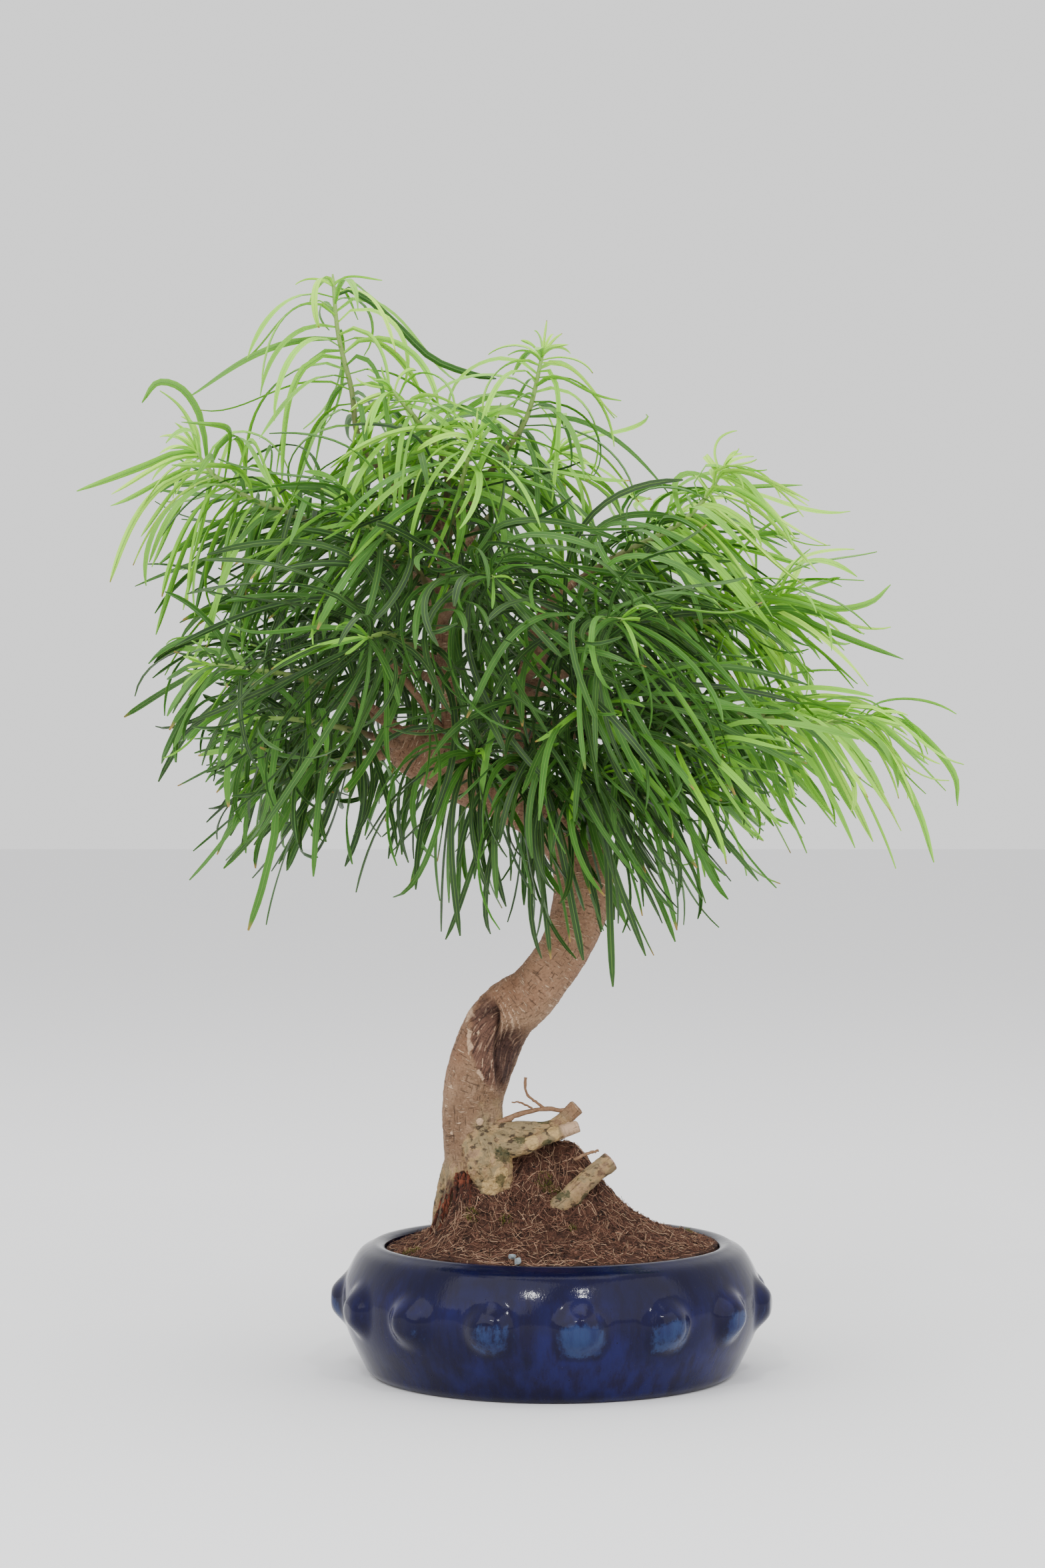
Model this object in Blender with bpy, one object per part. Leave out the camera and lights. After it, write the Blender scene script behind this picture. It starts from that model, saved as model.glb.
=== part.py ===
"""Golden larch bonsai in a round, studded, glazed pot.

Run it with: blender --background --python part.py

Lengths are in millimetres here, and MM turns them into metres where a mesh is made. X runs to the
right, Y away from the viewer and Z up. The origin is the centre of the pot's flat underside.
"""

import math
import random
from typing import NamedTuple

import bmesh
import bpy
import numpy as np
from mathutils import Matrix, Vector
from mathutils.bvhtree import BVHTree

MM = 0.001
GAP = 0.3  # clearance between pieces that touch

# Pot: a drum that turns in at the mouth, with one row of studs round its belly.
POT_HEIGHT = 58.4
FOOT_RADIUS = 81.0
BELLY_RADIUS = 94.3
MOUTH_RADIUS = 75.0
FLOOR_THICKNESS = 8.0
STUD_COUNT = 15
STUD_HEIGHT = 33.0
STUD_RISE = 5.0
STUD_CREST = 3.5
STUD_REACH = 14.0
STUD_TURN = math.radians(7.0)  # the first stud stands this far to the right of the front
SIDES_PER_STUD = 5
DRAIN_COUNT = 3
DRAIN_RADIUS = 6.0
DRAIN_CIRCLE = 36.0
# Outer wall from the underside to the mouth: radius, height.
POT_OUTER = [
    (FOOT_RADIUS, 0.0),
    (83.6, 2.8),
    (88.6, 12.8),
    (91.8, 20.0),
    (93.6, 26.5),
    (BELLY_RADIUS, STUD_HEIGHT),
    (93.7, 39.5),
    (91.6, 46.0),
    (86.6, 54.4),
    (80.0, POT_HEIGHT),
    (MOUTH_RADIUS, 56.0),
]
# Inner wall from the mouth down to the floor.
POT_INNER = [
    (76.5, 50.5),
    (86.5, 38.0),
    (83.6, 20.0),
    (73.0, FLOOR_THICKNESS),
]

# Drainage screens lie on the floor over the holes, with the soil on top of them.
SCREEN_SIDE = 21.0
SCREEN_THICKNESS = 0.8
SCREEN_HOLES = 2
SCREEN_BAR = 1.8

# Soil: level with the mouth at the wall, heaped up round the trunk and its roots.
SOIL_SIDES = 28
WALL_GAP = 0.5  # the soil's facets are fewer than the wall's, so they stand a little further off
SOIL_EDGE = 55.2
HEAP_RISE = 49.0
HEAP_LEFT, HEAP_RIGHT = -38.0, 8.0  # ends of the heap's short ridge
HEAP_FALL_LEFT, HEAP_FALL = 8.0, 22.0  # lengths over which the heap falls away
HEAP_CREST = 0.25  # rounds the ridge, as a share of those lengths
SOIL_RINGS = (66.0, 56.0, 46.0, 37.0, 28.0, 19.0, 10.0)

# Trunk: x, y, z, radius along its centre line, from inside the soil to the old cut.
TRUNK_SIDES = 12
TRUNK_SAMPLES = 25
TRUNK_LINE = [
    (-30, 2, 44, 12.5),
    (-31.5, 2, 64, 14.5),
    (-33, 2, 84, 15.0),
    (-34.8, 1, 104, 14.0),
    (-35.7, 0, 122, 13.6),
    (-32, -2, 137, 14.6),
    (-26, -4, 152, 14.8),
    (-19.5, -6, 162, 14.0),
    (-9.3, -7, 170, 12.2),
    (-1.5, -7, 179.5, 11.3),
    (6, -5, 191, 11.5),
    (12, -2, 206, 12.6),
    (14.4, 2, 221, 13.4),
    (11, 6, 234.5, 13.4),
    (2, 8, 246, 13.0),
    (-16, 7, 257, 12.4),
    (-37, 4, 266.5, 12.4),
    (-53.5, 1, 275, 12.6),
    (-66, -1, 281, 10.6),
    (-71.5, -1, 283.5, 6.0),
]
# The old wound is a groove up the inside of the first bend: where it is, and how far it reaches.
SCAR_CENTRE = Vector((-21.0, -16.0, 150.0))
SCAR_AXIS = Vector((-0.42, 0.0, 0.91))
SCAR_DEPTH = 6.5
SCAR_HALF_LENGTH = 26.0
SCAR_HALF_WIDTH = 7.5

# Roots, cut root stubs and dead twigs, fused to the trunk: x, y, z, radius.
ROOT_SIDES, ROOT_SAMPLES = 7, 6
ROOTS = {
    "upper_stub": [(-30, -4, 107, 6.5), (-14, -7, 108, 5.2), (0, -7, 110, 3.6), (11.6, -6, 119.7, 3.7)],
    "lower_stub": [(-30, -8, 104, 6.5), (-16, -14, 102, 4.4), (-5.6, -14, 105, 3.2), (12, -12, 111.5, 2.9)],
    "front_root": [(-33, -5, 105, 9.0), (-29, -11, 96, 10.5), (-26, -11, 84, 8.5), (-24, -9, 68, 6.0)],
    "bark_root": [(-40, -5, 98, 5.0), (-44, -7, 84, 3.7), (-48, -9, 71, 3.0), (-51, -10, 58, 2.4)],
    "back_root": [(-39, 6, 98, 8.0), (-45, 19, 84, 6.2), (-50, 28, 68, 4.4), (-52, 32, 58, 3.2)],
    "side_root": [(-31, 8, 96, 7.0), (-19, 21, 84, 5.2), (-10, 31, 70, 3.8), (-6, 36, 60, 2.8)],
    "thin_root": [(-24, -7, 112, 1.6), (-14, -8, 116.5, 1.3), (-3, -8, 118.6, 1.2), (7, -6.5, 117.5, 1.2)],
    "dead_twig": [(-2, -8, 117.8, 0.8), (-7, -8.5, 121.6, 0.8), (-11.4, -9, 126, 0.7), (-12, -9, 133, 0.7)],
}
# This root stands in the heap by itself: it joins the others below the soil.
CROSSING_ROOT = [
    (-5, -14, 62, 4.4),
    (1.5, -19.5, 74, 4.8),
    (8.6, -19.5, 81, 5.0),
    (16, -15, 88, 4.4),
    (26, -11, 95.5, 4.5),
]

# The two leaders that carry the branches: x, y, z, radius.
LEADER_SIDES, LEADER_SAMPLES = 6, 8
LEADERS = {
    "left_leader": [
        (-45, 3, 268, 5.0),
        (-46, 0, 296, 3.8),
        (-48, -1, 317, 3.4),
        (-49.8, 0, 341, 3.1),
        (-49, 1, 362, 2.8),
        (-52, 2, 382, 2.4),
    ],
    "right_leader": [(-16, 6, 258, 4.0), (-14, 2, 284, 3.2), (-14, 0, 304, 2.8), (-10, -3, 328, 2.4)],
}


class Shoot(NamedTuple):
    """A leafy shoot, from inside the wood that carries it out to its tip."""

    line: list  # x, y, z
    bark: float  # this share of the line, at its foot, is woody and belongs to the tree
    droop: float  # how readily the leaves hang
    spread: float  # how far they stand off the stem
    size: float = 1.0  # the length of the leaves, and how many there are, as shares of the usual
    leafage: float = 1.0
    seed: int = 0
    sweep: float = 0.0  # how far to the right the leaves are drawn for each step that they hang down


SHOOTS = {
    "leader_tip": Shoot(
        [
            (-52, 2, 380), (-62, 1, 391), (-76, 0, 404), (-87, -2, 420), (-90, -3, 441), (-96, -4, 466),
            (-98.5, -3, 493),
        ],
        bark=0.22, droop=1.2, spread=0.8, size=0.85, leafage=0.8, seed=4,
    ),
    "top_left": Shoot(
        [(-49, 1, 366), (-47, -9, 390), (-48, -18, 408), (-59, -24, 424), (-72, -28, 439)],
        bark=0.3, droop=1.2, spread=1.1, size=0.9, leafage=0.7, seed=2,
    ),
    "top_middle": Shoot(
        [(-49, 0, 352), (-46, -18, 374), (-40, -36, 396), (-34, -46, 417)],
        bark=0.3, droop=1.1, spread=1.0, size=0.85, leafage=1.1, seed=11, sweep=-0.5,
    ),
    "top_right": Shoot(
        [(-50, 1, 372), (-38, -4, 390), (-22, -12, 411), (-11, -17, 428), (-4, -22, 456)],
        bark=0.3, droop=0.9, spread=1.0, size=0.85, leafage=0.9, seed=2, sweep=-0.1,
    ),
    "right_high": Shoot(
        [(-10, -3, 326), (0, -8, 346), (28, -15, 365), (54, -19, 378), (68, -20, 391), (77, -22, 406)],
        bark=0.3, droop=1.45, spread=1.1, size=0.85, leafage=1.1, seed=5, sweep=0.8,
    ),
    "right_middle": Shoot(
        [(-12, -1, 318), (15, 3, 330), (54, 8, 338), (82, 10, 338), (108, 8, 351)],
        bark=0.28, droop=0.55, spread=0.9, size=0.85, leafage=1.2, seed=23, sweep=0.6,
    ),
    "right_low": Shoot(
        [
            (-14, 1, 288), (10, -5, 292), (38, -11, 299), (64, -13, 299), (90, -12, 295),
            (120, -11, 291), (146, -10, 295),
        ],
        bark=0.28, droop=1.45, spread=0.5, size=0.8, leafage=1.0, seed=2, sweep=0.5,
    ),
    "right_front": Shoot(
        [(-14, 1, 280), (6, -16, 285), (30, -38, 289), (52, -49, 282), (72, -54, 280)],
        bark=0.35, droop=0.8, spread=1.0, size=0.85, leafage=0.9, seed=8, sweep=0.8,
    ),
    "bend_front": Shoot(
        [(2, 4, 246), (7, -18, 259), (15, -36, 267), (22, -50, 269)],
        bark=0.4, droop=1.2, spread=0.85, size=0.95, leafage=1.3, seed=20, sweep=0.4,
    ),
    "right_under": Shoot(
        [(9, 4, 238), (28, -14, 253), (48, -24, 261), (66, -30, 263)],
        bark=0.35, droop=0.6, spread=1.05, size=0.8, leafage=0.6, seed=16, sweep=0.8,
    ),
    "left_high": Shoot(
        [
            (-49.5, 0, 344), (-76, -7, 364), (-108, -13, 381), (-132, -16, 390), (-150, -15, 401),
            (-160, -16, 414),
        ],
        bark=0.28, droop=1.2, spread=0.8, size=0.9, leafage=1.2, seed=4, sweep=-0.2,
    ),
    "left_front": Shoot(
        [(-49, 1, 333), (-58, -20, 356), (-70, -38, 371), (-86, -51, 378)],
        bark=0.3, droop=0.65, spread=0.9, size=0.95, leafage=1.3, seed=22, sweep=-0.8,
    ),
    "left_middle": Shoot(
        [(-60, 1, 280), (-82, -9, 299), (-112, -20, 311), (-136, -26, 315), (-153, -28, 317)],
        bark=0.28, droop=0.85, spread=0.95, size=0.85, leafage=0.7, seed=9,
    ),
    "left_low": Shoot(
        [(-62, -4, 279), (-86, -22, 287), (-110, -36, 292), (-132, -42, 293)],
        bark=0.3, droop=0.8, spread=0.85, size=0.8, leafage=0.7, seed=4,
    ),
    "left_under": Shoot(
        [(-66, -1, 281), (-88, 0, 273), (-108, 0, 270), (-128, -3, 272)],
        bark=0.3, droop=0.45, spread=0.7, size=0.8, leafage=0.8, seed=2, sweep=-0.1,
    ),
    "centre_low": Shoot(
        [(-37, 0, 266), (-37, -22, 272), (-35, -40, 276), (-33, -54, 277)],
        bark=0.42, droop=1.2, spread=1.0, size=0.95, leafage=1.1, seed=3, sweep=0.2,
    ),
    "centre_under": Shoot(
        [(-16, 2, 256), (-14, -20, 262), (-10, -36, 268), (-6, -52, 271)],
        bark=0.42, droop=1.15, spread=0.7, size=1.0, leafage=1.1, seed=2, sweep=0.1,
    ),
    "centre_right": Shoot(
        [(-14, 0, 303), (-3, -22, 303), (8, -42, 300), (20, -60, 296)],
        bark=0.35, droop=0.45, spread=1.1, size=1.15, leafage=1.3, seed=9, sweep=1.0,
    ),
    "front_middle": Shoot(
        [(-49.5, 0, 338), (-41, -28, 347), (-32, -56, 353), (-25, -84, 352)],
        bark=0.3, droop=0.9, spread=1.15, size=1.1, leafage=1.1, seed=20, sweep=1.2,
    ),
    "front_left": Shoot(
        [(-48, -1, 316), (-60, -28, 324), (-71, -56, 329), (-80, -82, 326)],
        bark=0.3, droop=0.45, spread=0.9, size=1.15, leafage=1.0, seed=13, sweep=-0.8,
    ),
    "front_right": Shoot(
        [(-12, -2, 312), (2, -30, 325), (15, -58, 334), (30, -84, 334)],
        bark=0.3, droop=0.7, spread=1.0, size=1.1, leafage=1.2, seed=3, sweep=0.5,
    ),
    "back_top": Shoot(
        [(-51, 2, 374), (-54, 22, 396), (-58, 44, 412), (-62, 62, 428)],
        bark=0.3, droop=1.3, spread=0.8, size=0.85, leafage=1.0, seed=12, sweep=0.5,
    ),
    "back_high": Shoot(
        [(-49, 1, 358), (-31, 28, 384), (-10, 52, 404), (4, 70, 422)],
        bark=0.3, droop=1.1, spread=1.0, size=0.9, leafage=1.0, seed=13, sweep=-0.2,
    ),
    "back_right_high": Shoot(
        [(-10, -2, 322), (14, 28, 350), (42, 56, 374), (62, 74, 392)],
        bark=0.3, droop=0.7, spread=0.8, size=1.0, leafage=1.0, seed=21, sweep=1.2,
    ),
    "back_right": Shoot(
        [(-13, 0, 307), (28, 32, 322), (74, 50, 334), (112, 58, 346)],
        bark=0.28, droop=0.5, spread=1.2, size=0.8, leafage=1.3, seed=10, sweep=-0.3,
    ),
    "back_right_low": Shoot(
        [(-14, 2, 284), (28, 26, 290), (78, 34, 289), (122, 36, 294)],
        bark=0.28, droop=0.7, spread=0.7, size=0.8, leafage=1.0, seed=15, sweep=0.6,
    ),
    "back_left_high": Shoot(
        [(-49.5, 1, 350), (-72, 32, 366), (-95, 56, 376), (-115, 70, 386)],
        bark=0.3, droop=0.55, spread=0.55, size=1.15, leafage=1.2, seed=22, sweep=-0.9,
    ),
    "back_left": Shoot(
        [(-60, 3, 280), (-86, 28, 300), (-115, 42, 316), (-142, 50, 331)],
        bark=0.28, droop=0.6, spread=0.55, size=1.0, leafage=1.1, seed=11,
    ),
    "back_left_middle": Shoot(
        [(-47, 0, 308), (-68, 40, 318), (-88, 72, 325), (-101, 97, 326)],
        bark=0.3, droop=0.9, spread=0.9, size=0.9, leafage=1.1, seed=0, sweep=-0.4,
    ),
    "back_left_low": Shoot(
        [(-66, 2, 281), (-88, 26, 278), (-108, 44, 275), (-126, 58, 273)],
        bark=0.3, droop=0.5, spread=0.8, size=0.8, leafage=1.0, seed=14, sweep=-0.8,
    ),
    "back_middle": Shoot(
        [(-49.5, 1, 340), (-47, 44, 352), (-43, 80, 360), (-40, 112, 364)],
        bark=0.3, droop=1.0, spread=0.9, size=1.05, leafage=1.2, seed=17,
    ),
    "back_centre": Shoot(
        [(-13, 0, 314), (5, 46, 328), (20, 82, 338), (30, 114, 342)],
        bark=0.3, droop=1.0, spread=1.15, size=1.0, leafage=1.0, seed=0,
    ),
    "back_under": Shoot(
        [(7, 8, 240), (30, 38, 260), (58, 66, 275), (82, 88, 283)],
        bark=0.3, droop=0.7, spread=1.15, size=0.8, leafage=1.1, seed=10,
    ),
    "back_low": Shoot(
        [(-36, 6, 266), (-34, 42, 280), (-32, 76, 288), (-30, 104, 292)],
        bark=0.3, droop=1.0, spread=1.15, size=1.05, leafage=1.2, seed=11,
    ),
}


class Stray(NamedTuple):
    """A leaf that stands out from the crown's outline, and so is placed by hand."""

    shoot: str
    share: float  # of the shoot's stem, from its foot
    line: list  # x, y, z, towards the tip


STRAYS = [
    Stray("leader_tip", 0.97, [(-110, -6, 492), (-127, -9, 488), (-142, -11, 486), (-149, -12, 474)]),
    Stray("leader_tip", 0.9, [(-88, 0, 486), (-70, 2, 471), (-54, 4, 456), (-36, 5, 449), (-25, 5, 447)]),
    Stray("left_high", 0.97, [(-168, -17, 411), (-180, -18, 406), (-193, -18, 401), (-212, -18, 394)]),
    Stray("left_high", 0.9, [(-156, -20, 426), (-164, -22, 439), (-175, -22, 442), (-182, -22, 433)]),
    Stray("left_low", 0.9, [(-128, -44, 276), (-121, -46, 250), (-126, -46, 222), (-133, -45, 200)]),
    Stray("right_middle", 0.9, [(112, 6, 348), (128, 4, 343), (144, 4, 346), (153, 4, 354)]),
    Stray("right_middle", 0.7, [(104, 4, 342), (122, 0, 334), (142, -2, 326), (158, -3, 320)]),
    Stray("right_low", 0.97, [(158, -10, 292), (172, -10, 280), (182, -11, 266), (183, -12, 252)]),
    Stray("right_low", 0.85, [(140, -12, 286), (154, -14, 270), (164, -15, 250), (170, -16, 229)]),
    Stray("bend_front", 0.9, [(22, -52, 254), (24, -54, 226), (25, -55, 198), (26, -55, 176)]),
    Stray("centre_under", 0.97, [(-2, -56, 258), (4, -60, 234), (9, -62, 208), (13, -63, 188)]),
]
SHOOT_SAMPLES = 5
STEM_SIDES = 5
BARK_SIDES = 5
STEM_BASE_RADIUS, STEM_TIP_RADIUS = 1.6, 0.85
BARK_RADIUS = 2.5

# Leaves: narrow straps, set in a spiral, longest near the foot of each shoot.
LEAF_LENGTH = 82.0
LENGTH_RANGE = (0.74, 1.14)
YOUNG_LENGTH = 0.45  # the share of its length that a leaf at the very tip has reached
FULL_GROWN = 1 / 7  # leaves this share of the stem behind the tip have their full length
LEAF_HALF_WIDTH = 1.6
LEAF_KEEL = 0.95
LEAF_STEPS = 14
LEAVES_AT_TIP, LEAVES_PER_MM = 19, 0.42
FIRST_LEAF, LAST_LEAF, CROWDING = 0.03, 0.97, 0.85  # shares of the stem, and how they crowd its tip
GOLDEN_TURN = math.radians(137.5)
TURN_SCATTER = 0.3
TIP_LEAN, FOOT_LEAN, LEAN_SCATTER = 38.0, 46.0, 18.0  # degrees off the stem
HANG_LENGTH = 38.0  # a leaf turns towards the ground over this length
HANG_SCATTER = 0.4
ARCH_OVER = 2.4  # a leaf that points up bends that much faster
CURL_SCATTER, HOOK_CHANCE, HOOK = 0.7, 0.22, 1.8
ROLL_SCATTER, TWIST_SCATTER = 0.7, 0.8
# The solid model carries this share of the leaves, each of them at its true size.
SOLID_SHARE = 0.185
SOLID_STEPS = (0, 4, 9, 14)
CROWN_CENTRE = Vector((-15.0, 0.0, 320.0))
LEAF_CLEARANCE = 0.7
BALL_PITCH, NEAR_STEM = 2.2, 4  # the clearance test's spacing, and its points that lie by the stem

# Pale chips of grit lie on the soil near the front: place on the soil, and size along X, Y and Z.
CHIPS = {"grit_chip_1": ((-17.6, -63.5), (4.0, 3.0, 2.4)), "grit_chip_2": ((-15.2, -69.0), (3.4, 2.4, 3.8))}

DOWN = Vector((0, 0, -1))
UP = Vector((0, 0, 1))
FIRST_SIDE = (0.13, 1, 0.07)  # along no limb, so every ring can start from it
STRAY_FACING = Vector((0.0, 1.0, 0.4))


def clear_scene():
    for found in list(bpy.data.objects):
        bpy.data.objects.remove(found)


def material(name, colour, roughness, metallic=0.0):
    made = bpy.data.materials.new(name)
    made.use_nodes = True
    shader = made.node_tree.nodes["Principled BSDF"]
    shader.inputs["Base Color"].default_value = (*colour, 1)
    shader.inputs["Roughness"].default_value = roughness
    shader.inputs["Metallic"].default_value = metallic
    made.diffuse_color = (*colour, 1)
    return made


def object_from(mesh, name, finish=None):
    """Puts a finished bmesh, in millimetres, into the scene as an object in metres."""
    bmesh.ops.recalc_face_normals(mesh, faces=mesh.faces)
    bmesh.ops.scale(mesh, vec=(MM, MM, MM), verts=mesh.verts)
    data = bpy.data.meshes.new(name)
    mesh.to_mesh(data)
    mesh.free()
    made = bpy.data.objects.new(name, data)
    bpy.context.scene.collection.objects.link(made)
    if finish:
        data.materials.append(finish)
    return made


def combined(base, others, operation, solver="EXACT"):
    """Applies one Boolean of a collection of objects to base, and removes those objects."""
    tools = bpy.data.collections.new(base.name + "_tools")
    bpy.context.scene.collection.children.link(tools)
    for other in others:
        for holder in list(other.users_collection):
            holder.objects.unlink(other)
        tools.objects.link(other)
    boolean = base.modifiers.new("combine", "BOOLEAN")
    boolean.operation = operation
    boolean.operand_type = "COLLECTION"
    boolean.collection = tools
    boolean.solver = solver
    graph = bpy.context.evaluated_depsgraph_get()
    data = bpy.data.meshes.new_from_object(base.evaluated_get(graph))
    base.modifiers.clear()
    base.data = data
    for other in list(tools.objects):
        bpy.data.objects.remove(other)
    bpy.data.collections.remove(tools)
    return base


def largest_body(piece):
    """Leaves out the crumbs that a cut has parted from the piece, and closes pockets inside it."""
    mesh = bmesh.new()
    mesh.from_mesh(piece.data)
    rest, bodies = set(mesh.faces), []
    while rest:
        body, fresh = set(), {rest.pop()}
        while fresh:
            body |= fresh
            fresh = {near for face in fresh for edge in face.edges for near in edge.link_faces} - body
        rest -= body
        bodies.append(body)
    keep = max(bodies, key=len)
    bmesh.ops.delete(mesh, geom=[face for face in mesh.faces if face not in keep], context="FACES")
    mesh.to_mesh(piece.data)
    mesh.free()


def smooth_shading(piece, degrees=50):
    piece.data.shade_smooth()
    piece.data.set_sharp_from_angle(angle=math.radians(degrees))


def smooth_line(points, count):
    """count points, evenly spaced in parameter, on a Catmull-Rom curve through the given points."""
    knots = np.array(points, float)
    knots = np.vstack([2 * knots[0] - knots[1], knots, 2 * knots[-1] - knots[-2]])
    line = []
    for place in np.linspace(0, len(points) - 1, count):
        first = min(int(place), len(points) - 2)
        t = place - first
        a, b, c, d = knots[first : first + 4]
        bend = 2 * a - 5 * b + 4 * c - d
        line.append(0.5 * (2 * b + (c - a) * t + bend * t**2 + (3 * b - a - 3 * c + d) * t**3))
    return line


def headings(line):
    """The direction of travel at each point of a line."""
    ahead = [Vector(line[min(i + 1, len(line) - 1)]) - Vector(line[max(i - 1, 0)]) for i in range(len(line))]
    return [step.normalized() for step in ahead]


def carried_sides(directions, first):
    """A side vector for each direction, carried along with no more turn than the line itself has."""
    sides = []
    side = Vector(first)
    for heading in directions:
        side = (side - heading * side.dot(heading)).normalized()
        sides.append(side.copy())
    return sides


def sweep(mesh, sections, pointed=False):
    """Skins a row of rings and closes both ends. If pointed, the last ring is drawn together."""
    rings = [[mesh.verts.new(point) for point in section] for section in sections[: -1 if pointed else None]]
    for near, far in zip(rings, rings[1:]):
        for i in range(len(near)):
            mesh.faces.new((near[i - 1], near[i], far[i], far[i - 1]))
    mesh.faces.new(rings[0])
    if pointed:
        tip = mesh.verts.new(sum(sections[-1], Vector()) / len(sections[-1]))
        for i in range(len(rings[-1])):
            mesh.faces.new((rings[-1][i - 1], rings[-1][i], tip))
    else:
        mesh.faces.new(rings[-1])


def tube_sections(line, radii, sides, carve=None):
    """Rings round a line. carve, where given, says how far in the surface is cut at each point."""
    directions = headings(line)
    across = carried_sides(directions, FIRST_SIDE)
    sections = []
    for centre, heading, side, radius in zip(line, directions, across, radii):
        ring = []
        for i in range(sides):
            outward = Matrix.Rotation(math.tau * i / sides, 3, heading) @ side
            point = Vector(centre) + outward * radius
            ring.append(point - outward * carve(point) if carve else point)
        sections.append(ring)
    return sections


def flat_ring(centre, facing, radius, sides):
    """A ring square to the way it faces."""
    side = carried_sides([facing], FIRST_SIDE)[0]
    return [centre + Matrix.Rotation(math.tau * i / sides, 3, facing) @ side * radius for i in range(sides)]


def tube(name, knots, count, sides, grow=0.0, carve=None, finish=None):
    """A tapered tube through knots of x, y, z, radius."""
    rows = smooth_line(knots, count)
    mesh = bmesh.new()
    line = [row[:3] for row in rows]
    sweep(mesh, tube_sections(line, [row[3] + grow for row in rows], sides, carve))
    return object_from(mesh, name, finish)


def stud_rise(angle, height):
    """How far the pot's wall stands out at this place, for its studs."""
    pitch = math.tau / STUD_COUNT
    off = (angle - STUD_TURN + pitch / 2) % pitch - pitch / 2
    distance = math.hypot(off * BELLY_RADIUS, height - STUD_HEIGHT)
    fall = min(max((distance - STUD_CREST) / (STUD_REACH - STUD_CREST), 0), 1)
    return STUD_RISE * (0.5 + 0.5 * math.cos(math.pi * fall))


def turned(profile, sides):
    """A bmesh turned about Z from a profile of radius and height that begins and ends on the axis."""
    mesh = bmesh.new()
    verts = [mesh.verts.new((0, -radius, height)) for radius, height in profile]
    edges = [mesh.edges.new(pair) for pair in zip(verts, verts[1:])]
    bmesh.ops.spin(
        mesh, geom=verts + edges, cent=(0, 0, 0), axis=(0, 0, 1), angle=math.tau, steps=sides, use_merge=True
    )
    bmesh.ops.remove_doubles(mesh, verts=mesh.verts, dist=0.001)
    return mesh


def place_round(count, radius):
    """Points evenly spaced on a circle, the first of them at the back."""
    turns = [math.tau * i / count for i in range(count)]
    return [(radius * math.sin(turn), radius * math.cos(turn)) for turn in turns]


def make_pot(finish):
    sides = STUD_COUNT * SIDES_PER_STUD
    mesh = turned([(0, 0), *POT_OUTER, *POT_INNER, (0, FLOOR_THICKNESS)], sides)
    bmesh.ops.rotate(mesh, matrix=Matrix.Rotation(STUD_TURN, 3, "Z"), verts=mesh.verts)
    for vert in mesh.verts:
        radius = math.hypot(vert.co.x, vert.co.y)
        if radius > POT_INNER[1][0] + 1:
            grown = 1 + stud_rise(math.atan2(vert.co.x, -vert.co.y), vert.co.z) / radius
            vert.co.x *= grown
            vert.co.y *= grown
    pot = object_from(mesh, "pot", finish)
    drains = []
    for x, y in place_round(DRAIN_COUNT, DRAIN_CIRCLE):
        drill = bmesh.new()
        bmesh.ops.create_cone(
            drill,
            cap_ends=True,
            segments=12,
            radius1=DRAIN_RADIUS,
            radius2=DRAIN_RADIUS,
            depth=3 * FLOOR_THICKNESS,
            matrix=Matrix.Translation((x, y, FLOOR_THICKNESS / 2)),
        )
        drains.append(object_from(drill, "drill"))
    combined(pot, drains, "DIFFERENCE")
    smooth_shading(pot)
    return pot


def make_screens(finish):
    """A square of plastic mesh over each drain hole."""
    pitch = (SCREEN_SIDE - SCREEN_BAR) / SCREEN_HOLES
    for number, (x, y) in enumerate(place_round(DRAIN_COUNT, DRAIN_CIRCLE), 1):
        centre = Vector((x, y, FLOOR_THICKNESS + GAP + SCREEN_THICKNESS / 2))
        plate = bmesh.new()
        size = Matrix.Diagonal((SCREEN_SIDE, SCREEN_SIDE, SCREEN_THICKNESS, 1))
        bmesh.ops.create_cube(plate, size=1, matrix=Matrix.Translation(centre) @ size)
        screen = object_from(plate, f"drain_screen_{number}", finish)
        punches = []
        for i in range(SCREEN_HOLES):
            for j in range(SCREEN_HOLES):
                off = Vector((i - (SCREEN_HOLES - 1) / 2, j - (SCREEN_HOLES - 1) / 2, 0)) * pitch
                hole = bmesh.new()
                size = Matrix.Diagonal((pitch - SCREEN_BAR, pitch - SCREEN_BAR, 4 * SCREEN_THICKNESS, 1))
                bmesh.ops.create_cube(hole, size=1, matrix=Matrix.Translation(centre + off) @ size)
                punches.append(object_from(hole, "punch"))
        combined(screen, punches, "DIFFERENCE")


def heap_height(x, y):
    """Height of the soil's surface: a heap that falls away from a short ridge under the trunk."""
    ridge = min(max(x, HEAP_LEFT), HEAP_RIGHT)
    fall = HEAP_FALL_LEFT if x < ridge else HEAP_FALL
    distance = math.hypot((x - ridge) / fall, y / HEAP_FALL, HEAP_CREST) - HEAP_CREST
    return SOIL_EDGE + HEAP_RISE * math.exp(-distance)


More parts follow.
